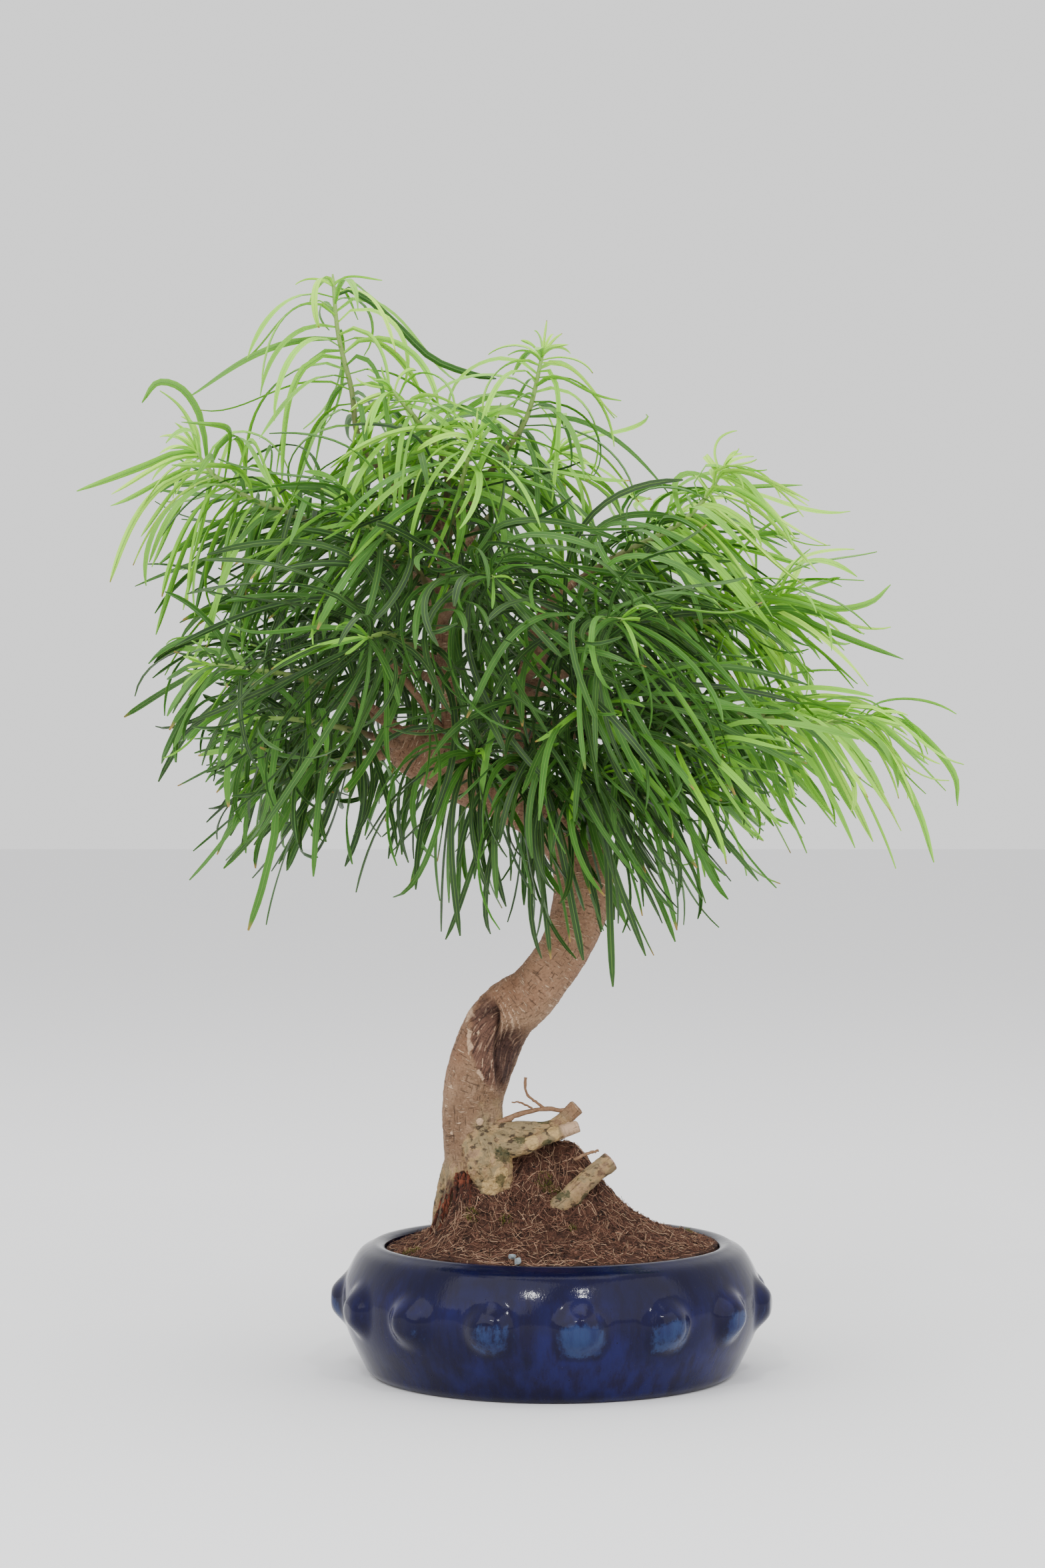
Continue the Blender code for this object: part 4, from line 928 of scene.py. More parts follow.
class Strip:
    """A closed strip with one cross-section, made once and laid along many lines.

    The blank lies along X, one unit to a station, with its section in Y and Z.
    """

    def __init__(self, section: Sequence[Pair], stations: int) -> None:
        """Extrudes the blank.

        Args:
            section: Its corners: aside and over, as shares of its half width and its height.
            stations: How many rings it has.
        """
        mesh = bmesh.new()
        ring = bmesh.ops.create_circle(mesh, segments=len(section), radius=1)["verts"]
        for vert, (aside, over) in zip(ring, section):
            vert.co = (0, aside, over)
        edges = list(mesh.edges)
        bmesh.ops.contextual_create(mesh, geom=edges)
        for _ in range(stations - 1):
            grown = bmesh.ops.extrude_edge_only(mesh, edges=edges)["geom"]
            edges = [part for part in grown if isinstance(part, bmesh.types.BMEdge)]
            ring = [part for part in grown if isinstance(part, bmesh.types.BMVert)]
            bmesh.ops.translate(mesh, vec=(1, 0, 0), verts=ring)
        bmesh.ops.contextual_create(mesh, geom=edges)
        bmesh.ops.recalc_face_normals(mesh, faces=mesh.faces)
        layer = mesh.loops.layers.uv.new("strap")
        for face in mesh.faces:
            for loop in face.loops:
                loop[layer].uv = (loop.vert.co.x / (stations - 1), (loop.vert.co.y + 1) / 2)
        self.blank = frozen(mesh, "blank")
        corners = points_of(self.blank) * MM
        self.station = corners[:, 0].round().astype(int)
        self.aside = corners[:, 1]
        self.over = corners[:, 2]

    def laid(
        self, name: str, centres: Array, asides: Array, overs: Array, sizes: Array
    ) -> Mesh:
        """Lays copies of the strip.

        Args:
            name: The mesh's name.
            centres: For each copy and station, a point in millimetres.
            asides: The unit vector across the strip there.
            overs: The unit vector out of its upper face there.
            sizes: Its half width and its height there.

        Returns:
            The mesh, in metres.
        """
        at = self.station
        across = (self.aside * sizes[:, at, 0])[..., None] * asides[:, at]
        upward = (self.over * sizes[:, at, 1])[..., None] * overs[:, at]
        mesh = bmesh.new()
        for _ in range(len(centres)):
            mesh.from_mesh(self.blank)
        data = frozen(mesh, name)
        move_points(data, (centres[:, at] + across + upward).reshape(-1, 3))
        return data

    def along(
        self, name: str, lines: Array, wide: Array, tall: float = 1.0, first: Sequence = FIRST_SIDE
    ) -> Mesh:
        """Lays copies along lines, turned as the lines turn.

        Args:
            name: The mesh's name.
            lines: The lines, in millimetres.
            wide: The half width at each station of each line.
            tall: The height, as a share of the half width.
            first: Which way the first side looks.

        Returns:
            The mesh, in metres.
        """
        asides, overs = side_frames(lines, first)
        return self.laid(name, lines, asides, overs, np.stack([wide, wide * tall], axis=2))

    def spread(self, values: Array) -> Array:
        """Values for each copy, or for each copy and station, as one for each vertex of the laid mesh."""
        if values.ndim == 1:
            return np.repeat(values, len(self.station))
        return values[:, self.station].ravel()


def side_frames(lines: Array, first: Sequence[float] = FIRST_SIDE) -> tuple[Array, Array]:
    """Side and upper vectors along each of a stack of lines."""
    asides, overs = [], []
    for line in lines:
        ways = headings(line)
        sides = carried_sides(ways, first)
        asides.append(sides)
        overs.append([way.cross(side) for way, side in zip(ways, sides)])
    return np.array(asides), np.array(overs)


def round_section(sides: int) -> list[Pair]:
    """The corners of a round section."""
    turns = [math.tau * i / sides for i in range(sides)]
    return [(math.cos(turn), math.sin(turn)) for turn in turns]


def together(name: str, parts: Sequence[Mesh], materials: Sequence) -> Object:
    """Joins meshes in one smooth shaded object. Each part takes the material of its own number."""
    mesh = bmesh.new()
    for number, part in enumerate(parts):
        part.polygons.foreach_set("material_index", np.full(len(part.polygons), number, np.int32))
        mesh.from_mesh(part)
    return linked(frozen(mesh, name), name, materials, 60)


@dataclass
class Pot:
    """The glazed pot: a drum that turns in at the mouth, with one row of studs round its belly."""

    height: float = 58.4
    foot: float = 81.0
    belly: float = 94.3
    mouth: float = 75.0
    floor: float = 8.0
    stud_count: int = 15
    stud_height: float = 33.0
    stud_rise: float = 5.0
    stud_crest: float = 3.5
    stud_reach: float = 14.0
    stud_turn: float = math.radians(7.0)
    sides: int = 360
    drain_radius: float = 6.0
    drain_circle: float = 36.0
    drains: int = 3
    patch_half: Pair = (10.5, 8.0)
    patch_low: float = -4.0
    # How strong each stud's pale patch is.
    patches: tuple = (0.9, 0.72, 0.85, 0.4, 0.6, 0.75, 0.5, 0.85, 0.65, 0.5, 0.8, 0.9, 0.1, 0.3, 0.55)
    glaze: Glaze = Glaze()

    def outer(self) -> list[Pair]:
        """The outer wall from the underside to the mouth: radius, height."""
        return [
            (self.foot, 0.0), (83.6, 2.8), (88.6, 12.8), (91.8, 20.0), (93.6, 26.5),
            (self.belly, self.stud_height), (93.7, 39.5), (91.6, 46.0), (86.6, 54.4),
            (80.0, self.height - 0.1), (self.mouth, 56.0),
        ]

    def inner(self) -> list[Pair]:
        """The inner wall from the mouth down to the floor."""
        return [(76.5, 50.5), (86.5, 38.0), (83.6, 20.0), (73.0, self.floor)]

    def stud_at(self, angle: float, height: float) -> Point:
        """How far the wall stands out for a stud here, and the place beside and above the stud's middle."""
        pitch = math.tau / self.stud_count
        off = (angle - self.stud_turn + pitch / 2) % pitch - pitch / 2
        beside, above = off * self.belly, height - self.stud_height
        fall = (math.hypot(beside, above) - self.stud_crest) / (self.stud_reach - self.stud_crest)
        rise = self.stud_rise * (0.5 + 0.5 * math.cos(math.pi * min(max(fall, 0), 1)))
        return rise, beside, above

    def profile(self) -> list[Pair]:
        """The whole turned profile, from the axis under the floor round to the axis above it."""
        corner, lip = 0.9, 1.5
        foot = [(0, 0), (40, 0), (70, 0), (self.foot - corner, 0.0), (self.foot, 0.25)]
        wall = [tuple(row) for row in smooth_line(self.outer()[1:-1], 56)]
        mouth = [(78.2, self.height - 0.15), (76.4, self.height - 0.8), (self.mouth + 0.2, 57.0)]
        mouth += [(self.mouth, 56.0), (self.mouth + 0.2, 56.0 - lip), (75.5, 52.6)]
        inside = [tuple(row) for row in smooth_line(self.inner(), 14)]
        return foot + wall + mouth + inside + [(70, self.floor), (40, self.floor), (0, self.floor)]

    def build(self) -> Object:
        """Turns the pot, raises its studs, drills it and glazes it."""
        mesh = turned(self.profile(), self.sides)
        for vert in mesh.verts:
            radius = math.hypot(vert.co.x, vert.co.y)
            if radius > self.inner()[1][0] + 1:
                angle = math.atan2(vert.co.x, -vert.co.y)
                grown = 1 + self.stud_at(angle, vert.co.z)[0] / radius
                vert.co.x *= grown
                vert.co.y *= grown
        pot = piece_from(mesh, "glazed_pot", self.glaze.made(), degrees=55)
        self.drill(pot)
        self.mark(pot.data)
        return dress(pot, Slot.GLAZE, "pot")

    def drill(self, pot: Object) -> None:
        """Cuts the drain holes through the floor."""
        drills = bmesh.new()
        for i in range(self.drains):
            turn = Matrix.Rotation(-math.tau * i / self.drains, 4, UP)
            place = turn @ Matrix.Translation((0, self.drain_circle, self.floor / 2))
            size = {"radius1": self.drain_radius, "radius2": self.drain_radius, "depth": 3 * self.floor}
            bmesh.ops.create_cone(drills, cap_ends=True, segments=48, matrix=place, **size)
        tool = piece_from(drills, "drill", pot.data.materials[0])
        cut = pot.modifiers.new("drains", "BOOLEAN")
        cut.operation = "DIFFERENCE"
        cut.solver = "EXACT"
        cut.object = tool
        evaluated(pot)
        bpy.data.objects.remove(tool)

    def mark(self, data: Mesh) -> None:
        """Marks the pale patch below each stud, painted shade on the upper wall, and the bare clay of the
        foot.
        """
        draw = Random(11)
        asides = [draw.uniform(-1.5, 2.5) for _ in range(self.stud_count)]
        marks = {"patch": [], "shoulder": [], "bare": []}
        for x, y, z in points_of(data):
            angle = math.atan2(x, -y)
            number = round((angle - self.stud_turn) / math.tau * self.stud_count) % self.stud_count
            _, beside, above = self.stud_at(angle, z)
            wide, tall = self.patch_half
            across, up = abs((beside - asides[number]) / wide), abs((above - self.patch_low) / tall)
            off = (across**3 + up**3) ** (1 / 3)
            outside = math.hypot(x, y) > self.belly * 0.9
            marks["patch"].append(self.patches[number] * soft_step(off, 1.4, 0.5) * outside)
            # painted shade: darker from 38 mm up to 52 mm
            marks["shoulder"].append(soft_step(z, 38, 52))
            marks["bare"].append(1.0 if z < 0.2 and math.hypot(x, y) < self.foot - 0.5 else 0.0)
        for name, values in marks.items():
            carry(data, name, values)


@dataclass
class Drainage:
    """The screens over the drain holes: their solids are right, and only get their plastic."""

    names: tuple[str, ...] = ("drain_screen_1", "drain_screen_2", "drain_screen_3")
    plastic: Plastic = Plastic()

    def build(self) -> None:
        """Gives each screen its material."""
        material = self.plastic.made()
        for name in self.names:
            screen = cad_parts[name]
            screen.data.materials.clear()
            screen.data.materials.append(material)
            LOG.info("%s: dressed", name)


@dataclass
class Soil:
    """The filled pot: a fine, crumbly skin over the same heap that the solid has."""

    edge: float = 55.2
    rise: float = 49.0
    ridge: Pair = (-38.0, 8.0)
    fall_left: float = 8.0
    fall: float = 22.0
    crest: float = 0.25
    mouth: float = 74.5
    base: float = 9.4
    wall: tuple = ((72.5, 9.4), (83.1, 20.0), (86.0, 38.0), (76.0, 50.5))
    rings: int = 96
    sides: int = 420
    unset: float = 1000.0  # stands for the top's heights until they are worked out
    peat: Peat = Peat()

    def heap(self, x: float, y: float) -> float:
        """The heap's height without its crumbs."""
        ridge = min(max(x, self.ridge[0]), self.ridge[1])
        fall = self.fall_left if x < ridge else self.fall
        distance = math.hypot((x - ridge) / fall, y / self.fall, self.crest) - self.crest
        return self.edge + self.rise * math.exp(-distance)

    def height(self, x: float, y: float) -> float:
        """The surface's height, crumbs and all."""
        lumps = roughness_at((x, y, 3.0), 8.0, 3)
        crumbs = roughness_at((x, y, 9.0), 2.6, 4) * 0.75
        edge = soft_step(math.hypot(x, y), self.mouth, self.mouth - 8)
        return self.heap(x, y) + (lumps + crumbs) * (0.35 + 0.65 * edge) - 0.5

    def build(self) -> Object:
        """Turns the soil, and gives its top the heap and the crumbs."""
        top = [(radius, self.unset) for radius in np.linspace(self.mouth, 0, self.rings)]
        profile = [(0, self.base), *self.wall, (self.mouth, self.edge - 3), *top]
        mesh = turned(profile, self.sides)
        for vert in mesh.verts:
            if vert.co.z > self.unset / 2:
                vert.co.z = self.height(vert.co.x, vert.co.y)
        soil = piece_from(mesh, "peat_soil", self.peat.made(), degrees=70)
        return dress(soil, Slot.PEAT, "soil")


@dataclass
class Litter:
    """What lies loose on the soil: coir fibres, crumbs, straws and rootlets."""

    soil: Soil
    fibres: int = 4600
    fibre_length: Pair = (2.0, 15.0)
    fibre_radius: Pair = (0.05, 0.17)
    crumbs: int = 2200
    crumb_size: Pair = (0.6, 2.6)
    # Straws: x, y and how tall.
    straws: tuple = ((29, -38, 8), (33, -42, 6), (-52, -18, 7), (41, -30, 5), (52, -20, 6))
    stations: int = 6
    peat: Peat = Peat()

    def spots(self, draw: Random, count: int) -> Iterable[Pair]:
        """Places on the soil, more of them on the heap, and none in the trunk."""
        found = 0
        while found < count:
            radius = (self.soil.mouth - 2.5) * math.sqrt(draw.random())
            turn = draw.uniform(0, math.tau)
            x, y = radius * math.sin(turn), radius * math.cos(turn)
            steep = self.soil.heap(x, y) - self.soil.edge
            if draw.random() < 0.45 + steep / 40 and math.hypot((x + 35) / 14, y / 14) > 1:
                found += 1
                yield x, y

    def fibre_lines(self, draw: Random) -> Array:
        """The centre lines of the fibres, each lying on the soil with its ends a little off it."""
        lines = []
        for x, y in self.spots(draw, self.fibres):
            length = draw.uniform(*self.fibre_length)
            turn = draw.uniform(0, math.tau)
            bend = draw.gauss(0, 1.1) / self.stations
            lift = abs(draw.gauss(0, 0.5))
            line = []
            for station in range(self.stations):
                along = station / (self.stations - 1)
                radius = math.hypot(x, y)
                if radius > self.soil.mouth - 1.5:
                    x, y = (value * (self.soil.mouth - 1.5) / radius for value in (x, y))
                height = self.soil.height(x, y) + 0.15 + lift * (2 * abs(along - 0.5)) ** 1.5 * 1.6
                line.append((x, y, height))
                x += math.cos(turn) * length / self.stations
                y += math.sin(turn) * length / self.stations
                turn += bend
            lines.append(line)
        return np.array(lines)

    def fibre_mesh(self) -> Mesh:
        """Lays the fibres."""
        draw = Random(21)
        strip = Strip(round_section(3), self.stations)
        lines = self.fibre_lines(draw)
        thick = np.array([draw.uniform(*self.fibre_radius) for _ in lines])[:, None] * np.ones(self.stations)
        data = strip.along("fibres", lines, thick, first=(0.13, 0.2, 1))
        tones = np.array([min(1.0, max(0.05, draw.gauss(0.55, 0.28))) for _ in lines])
        carry(data, "tone", strip.spread(tones))
        return data

    def straw_mesh(self) -> Mesh:
        """Stands the dry straws up."""
        draw = Random(8)
        strip = Strip(round_section(4), self.stations)
        lines, thick = [], []
        for x, y, tall in self.straws:
            for _ in range(3):
                lean = (draw.uniform(-0.5, 0.5), draw.uniform(-0.3, 0.3))
                foot = self.soil.height(x, y) - 1
                reach = tall * draw.uniform(0.5, 1.1)
                steps = [i / (self.stations - 1) for i in range(self.stations)]
                lean_x, lean_y = lean[0] * reach, lean[1] * reach
                lines.append([(x + lean_x * t * t, y + lean_y * t, foot + reach * t) for t in steps])
                thick.append([0.2 * (1 - 0.75 * t) for t in steps])
        data = strip.along("straws", np.array(lines), np.array(thick))
        carry(data, "tone", np.full(len(data.vertices), 0.95))
        return data

    def crumb_mesh(self) -> Mesh:
        """Drops the crumbs."""
        draw = Random(33)
        blank = bmesh.new()
        bmesh.ops.create_icosphere(blank, subdivisions=1, radius=0.5)
        ball = frozen(blank, "crumb")
        shape = points_of(ball) * MM
        mesh = bmesh.new()
        places, tones = [], []
        for x, y in self.spots(draw, self.crumbs):
            mesh.from_mesh(ball)
            size = draw.uniform(*self.crumb_size) * draw.uniform(0.4, 1)
            angle = draw.uniform(0, math.tau)
            turn = Matrix.Rotation(angle, 3, Vector((draw.random(), draw.random(), draw.random())))
            stretch = Vector((size, size * draw.uniform(0.5, 1), size * draw.uniform(0.4, 0.8)))
            centre = Vector((x, y, self.soil.height(x, y) + size * 0.1))
            knobbly = [1 + draw.uniform(-0.25, 0.25) for _ in shape]
            for corner, knob in zip(shape, knobbly):
                places.append(centre + turn @ (Vector(corner) * stretch * knob))
            tones += [max(0.02, draw.gauss(0.3, 0.22))] * len(shape)
        data = frozen(mesh, "crumbs")
        move_points(data, np.array(places))
        carry(data, "tone", tones)
        return data

    def build(self) -> None:
        """Builds fibres and straws as one piece, and the crumbs as another."""
        material = self.peat.scraps()
        loose = [self.fibre_mesh(), self.straw_mesh()]
        dress(together("coir_fibres", loose, [material, material]), Slot.PEAT)
        dress(together("peat_crumbs", [self.crumb_mesh()], [material]), Slot.PEAT)


@dataclass
class MossTufts:
    """Small cushions of moss. Each is x, y, reach and how many leaflets it has."""

    soil: Soil
    tufts: tuple = (
        (-3.0, -14.5, 4.0, 80), (9.0, -33.0, 2.5, 30), (-36.0, -27.0, 4.0, 60), (-21.0, -29.0, 3.0, 40),
        (-62.0, -30.0, 5.0, 70), (2.0, -19.0, 4.0, 60), (62.0, 25.0, 5.0, 60), (-30.0, 40.0, 6.0, 80),
        (25.0, 52.0, 5.0, 60),
    )
    stations: int = 4
    leaflet: Pair = (1.0, 2.4)
    moss: Moss = Moss()

    def build(self) -> Object:
        """Sets every leaflet of every tuft."""
        draw = Random(77)
        strip = Strip([(1, 0), (0, 0.5), (-1, 0), (0, -0.5)], self.stations)
        lines = []
        for x, y, reach, count in self.tufts:
            for _ in range(count):
                radius, turn = reach * math.sqrt(draw.random()), draw.uniform(0, math.tau)
                foot = (x + radius * math.cos(turn), y + radius * math.sin(turn))
                mound = 1.2 * (1 - (radius / reach) ** 2)
                start = Vector((*foot, self.soil.height(*foot) - 0.6 + mound))
                way = Vector((draw.gauss(0, 0.5), draw.gauss(0, 0.5), 1)).normalized()
                length = draw.uniform(*self.leaflet)
                lines.append([start + way * length * i / (self.stations - 1) for i in range(self.stations)])
        taper = np.array([1.0, 0.9, 0.6, 0.15]) * 0.28
        data = strip.along("moss", np.array(lines), taper * np.ones((len(lines), 1)), 0.7)
        tones = np.array([draw.random() for _ in lines])[:, None] * 0.5 + np.linspace(0, 0.5, self.stations)
        carry(data, "tone", strip.spread(tones))
        return dress(together("moss_tufts", [data], [self.moss.made()]), Slot.PEAT)


@dataclass
class BarkStrips:
    """Old deadwood strips and dark roots down the left of the trunk's foot. Each is x, y, z, half width."""

    strips: tuple = (
        ((-37.5, -13.0, 92, 0.9), (-37.2, -16.5, 85, 1.2), (-36.7, -20.5, 78, 1.1), (-36.0, -25, 71, 0.8)),
        ((-40.0, -12.0, 91, 1.4), (-40.0, -15.8, 84, 1.9), (-39.5, -20.0, 77, 1.7), (-39.0, -25, 70, 1.1)),
        ((-42.6, -10.5, 90, 0.9), (-43.0, -14.0, 83, 1.3), (-43.3, -17.5, 76, 1.1), (-43.0, -21, 69, 0.9)),
        ((-45.6, -8.5, 86, 0.7), (-47.5, -10.8, 78, 1.0), (-49.0, -12.6, 71, 0.9), (-50.5, -15, 63, 0.7)),
        ((-46.6, -5.0, 84, 0.7), (-50.0, -6.6, 75, 0.9), (-53.0, -8.0, 67, 0.8), (-55.5, -9, 59, 0.5)),
        ((-45.0, -11.5, 84, 0.5), (-46.6, -14.2, 76, 0.7), (-47.6, -17.0, 69, 0.6), (-48.5, -19, 61, 0.4)),
    )
    stations: int = 22

    def build(self) -> Object:
        """Lays the strips as one piece."""
        strip = Strip([(1, 0), (0.5, 0.8), (-0.5, 0.9), (-1, 0), (-0.4, -0.8), (0.5, -0.7)], self.stations)
        rows = np.array([smooth_line(row, self.stations) for row in self.strips])
        draw = np.random.default_rng(9)
        lines = rows[..., :3] + draw.normal(0, 0.22, rows[..., :3].shape)
        half = rows[..., 3] * draw.uniform(0.7, 1.2, rows.shape[:2])
        data = strip.along("deadwood", lines, half, 0.55, (1, 0.1, 0.05))
        return dress(together("deadwood_strips", [data], [DeadWood().made()]), Slot.BARK)


@dataclass
class Grit:
    """The two pale chips on the soil: broken stones in place of their plain solids."""

    names: tuple[str, ...] = ("grit_chip_1", "grit_chip_2")
    stone: Stone = Stone()

    def build(self) -> None:
        """Breaks each chip out of the box of its solid."""
        material = self.stone.made()
        draw = Random(4)
        for name in self.names:
            low, high = (Vector(corner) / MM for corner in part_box(name))
            mesh = bmesh.new()
            bmesh.ops.create_cube(mesh, size=1)
            bmesh.ops.subdivide_edges(mesh, edges=mesh.edges, cuts=5, use_grid_fill=True)
            for vert in mesh.verts:
                vert.co = vert.co.lerp(vert.co.normalized() * 0.5, 0.62)
            for _ in range(7):
                facing = Vector((draw.gauss(0, 1), draw.gauss(0, 1), draw.gauss(0, 1))).normalized()
                for vert in mesh.verts:
                    beyond = vert.co.dot(facing) - 0.38
                    if beyond > 0:
                        vert.co -= facing * beyond
            spread = [max(abs(vert.co[k]) for vert in mesh.verts) * 2 for k in range(3)]
            for vert in mesh.verts:
                vert.co *= 1 - 0.05 * abs(roughness_at(vert.co * 10 + low, 2.0))
                for k in range(3):
                    vert.co[k] = (low[k] + high[k]) / 2 + vert.co[k] / spread[k] * (high[k] - low[k]) * 0.99
            dress(piece_from(mesh, name + "_stone", material, degrees=28), Slot.GRIT, name)


@dataclass
class Stem:
    """A shoot's line, parted into its woody foot and its green rest."""

    shoot: Shoot
    fine: int = 60
    green_steps: int = 5
    gap: float = 0.3
    whole: Array = field(init=False)
    lengths: Array = field(init=False)
    cut: float = field(init=False)

    def __post_init__(self) -> None:
        """Measures the line."""
        self.whole = smooth_line(self.shoot.line, self.fine)
        steps = np.linalg.norm(np.diff(self.whole, axis=0), axis=1)
        self.lengths = np.concatenate([[0.0], np.cumsum(steps)])
        self.cut = self.shoot.bark * self.lengths[-1]

    def at(self, length: float) -> Vector:
        """The point at a length from the foot."""
        return Vector([float(np.interp(length, self.lengths, self.whole[:, k])) for k in range(3)])

    def green(self) -> list[Vector]:
        """The few points of the green part that the solid model has."""
        step = (self.lengths[-1] - self.cut) / (self.green_steps - 1)
        facing = (self.at(self.cut + 1) - self.at(self.cut - 1)).normalized()
        rest = [self.at(self.cut + step * i) for i in range(1, self.green_steps)]
        return [self.at(self.cut) + facing * self.gap] + rest

    def woody(self, count: int) -> Array:
        """Points down the woody foot."""
        return np.array([self.at(self.cut * i / (count - 1)) for i in range(count)])

    def fine_green(self, count: int) -> Array:
        """Points up the green part, from a little inside the wood."""
        start = self.cut - 1.5
        return np.array([self.at(start + (self.lengths[-1] - start) * i / (count - 1)) for i in range(count)])

    def on_green(self, share: float) -> Vector:
        """The point at a share of the green part."""
        return self.at(self.cut + share * (self.lengths[-1] - self.cut))


class Blade(NamedTuple):
    """One leaf, ready to be laid."""

    frames: list  # point, heading and side at each step
    share: float  # of the stem, from its foot
    width: float  # half its greatest width
    # how young the leaf looks, with painted light and shade from its place in the crown
    fresh: float


@dataclass
class Foliage:
    """All the leafy shoots. The leaves grow by the same rule, with the same draws, as the solids' do."""

    leaf_length: float = 82.0
    length_range: Pair = (0.74, 1.14)
    young_length: float = 0.45
    full_grown: float = 1 / 7
    half_width: float = 1.6
    thickness: float = 0.62
    steps: int = 14
    kept_steps: tuple[int, ...] = (0, 2, 4, 5, 6, 7, 8, 9, 10, 11, 12, 13, 14)
    at_tip: int = 19
    per_mm: float = 0.42
    first_leaf: float = 0.03
    last_leaf: float = 0.97
    crowding: float = 0.85
    golden_turn: float = math.radians(137.5)
    turn_scatter: float = 0.3
    tip_lean: float = 38.0
    foot_lean: float = 46.0
    lean_scatter: float = 18.0
    hang_length: float = 38.0
    hang_scatter: float = 0.4
    arch_over: float = 2.4
    curl_scatter: float = 0.7
    hook_chance: float = 0.22
    hook: float = 1.8
    roll_scatter: float = 0.7
    twist_scatter: float = 0.8
    head_leaves: tuple[int, int] = (5, 10)
    head_length: Pair = (10.0, 34.0)
    head_lean: Pair = (8.0, 66.0)
    head_hang: float = 1.9
    # painted shade darkens the leaves near this point
    painted_shade_centre: Point = (-15.0, 0.0, 320.0)
    stem_radii: Pair = (1.6, 0.85)
    stem_stations: int = 26
    skin: LeafSkin = LeafSkin()
    stem_skin: StemSkin = StemSkin()

    def line_at(self, line: Sequence[Vector], share: float) -> tuple[Vector, Vector]:
        """The point and the heading at a share of the way along a polyline's points."""
        place = share * (len(line) - 1)
        first = min(int(place), len(line) - 2)
        step = line[first + 1] - line[first]
        return line[first] + step * (place - first), step.normalized()

    def share_of(self, number: int, count: int) -> float:
        """Where a leaf stands on its stem."""
        reach = self.last_leaf - self.first_leaf
        return self.first_leaf + reach * ((number + 0.5) / count) ** self.crowding

    def grown(
        self,
        root: Vector,
        heading: Vector,
        blade: Vector,
        length: float,
        hang: Vector,
        curl: float,
        twist: float,
    ) -> list[tuple[Vector, Vector, Vector]]:
        """Grows one leaf from its root, step by step.

        Args:
            root: Its foot.
            heading: The way it sets out.
            blade: The vector across it there.
            length: Its length.
            hang: Where it turns as it hangs, and by its length how fast, for each millimetre.
            curl: How far it turns about its own width, most of it near the tip.
            twist: How far it turns about its own length.

        Returns:
            A point, a heading and a side vector for each step.
        """
        step = length / self.steps
        point = root.copy()
        pull = hang.normalized()
        frames = []
        for i in range(self.steps + 1):
            along = i / self.steps
            blade = (blade - heading * blade.dot(heading)).normalized()
            twisted = Matrix.Rotation(twist * along, 3, heading) @ blade
            frames.append((point.copy(), heading.copy(), twisted))
            point = point + heading * step
            bend = hang.length * step * (1 + self.arch_over * max(0.0, heading.z))
            heading = (heading + (pull - heading * pull.dot(heading)) * bend).normalized()
            heading = Matrix.Rotation(curl * 3 * along**2 / self.steps, 3, twisted) @ heading
        return frames

    def drawn(
        self, draw: Random, green: Sequence[Vector], shoot: Shoot, number: int, count: int
    ) -> list:
        """One leaf of the spiral, drawn as the solid model draws it."""
        share = self.share_of(number, count)
        age = 1 - share
        root, stem = self.line_at(green, share)
        side = stem.cross(UP).normalized()
        turn = number * self.golden_turn + draw.uniform(-self.turn_scatter, self.turn_scatter)
        outward = Matrix.Rotation(turn, 3, stem) @ side
        scatter = draw.uniform(-self.lean_scatter, self.lean_scatter)
        lean = math.radians(self.tip_lean + self.foot_lean * age**0.35 * shoot.spread + scatter)
        heading = stem * math.cos(lean) + outward * math.sin(lean)
        grown = self.young_length + (1 - self.young_length) * min(1, age / self.full_grown)
        length = self.leaf_length * shoot.size * grown * draw.uniform(*self.length_range)
        hang = shoot.droop * math.exp(draw.gauss(0, self.hang_scatter)) / self.hang_length
        curl = draw.gauss(0, self.curl_scatter)
        if draw.random() < self.hook_chance:
            curl += draw.choice((-self.hook, self.hook))
        roll = draw.gauss(0, self.roll_scatter)
        twist = draw.gauss(0, self.twist_scatter)
        level = heading.cross(UP)
        level = level.normalized() if level.length > 0.05 else side
        blade = Matrix.Rotation(roll, 3, heading) @ level
        return self.grown(root, heading, blade, length, self.pull(shoot) * hang, curl, twist)

    def pull(self, shoot: Shoot) -> Vector:
        """The way a shoot's leaves turn as they hang: down, and to the side that the shoot sweeps to."""
        return Vector((shoot.sweep, 0, -1)).normalized()

    def light(self, shoot: Shoot) -> float:
        """How much light a shoot's tip gets: the top and both ends of the crown are the brightest."""
        x, _, z = shoot.line[-1]
        ends = 0.9 * soft_step(x, 50, 130) + 0.5 * soft_step(x, -120, -160)
        return min(1.0, 0.9 * soft_step(z, 350, 440) + ends)

    def stray(self, green: Sequence[Vector], stray: Stray) -> list:
        """A leaf that is placed along a listed line. Its flat side looks to the front."""
        root, _ = self.line_at(green, stray.share)
        line = [Vector(point) for point in smooth_line([root, *stray.line], self.steps + 1)]
        ways = headings(line)
        return list(zip(line, ways, carried_sides(ways, ways[0].cross(STRAY_FACING))))

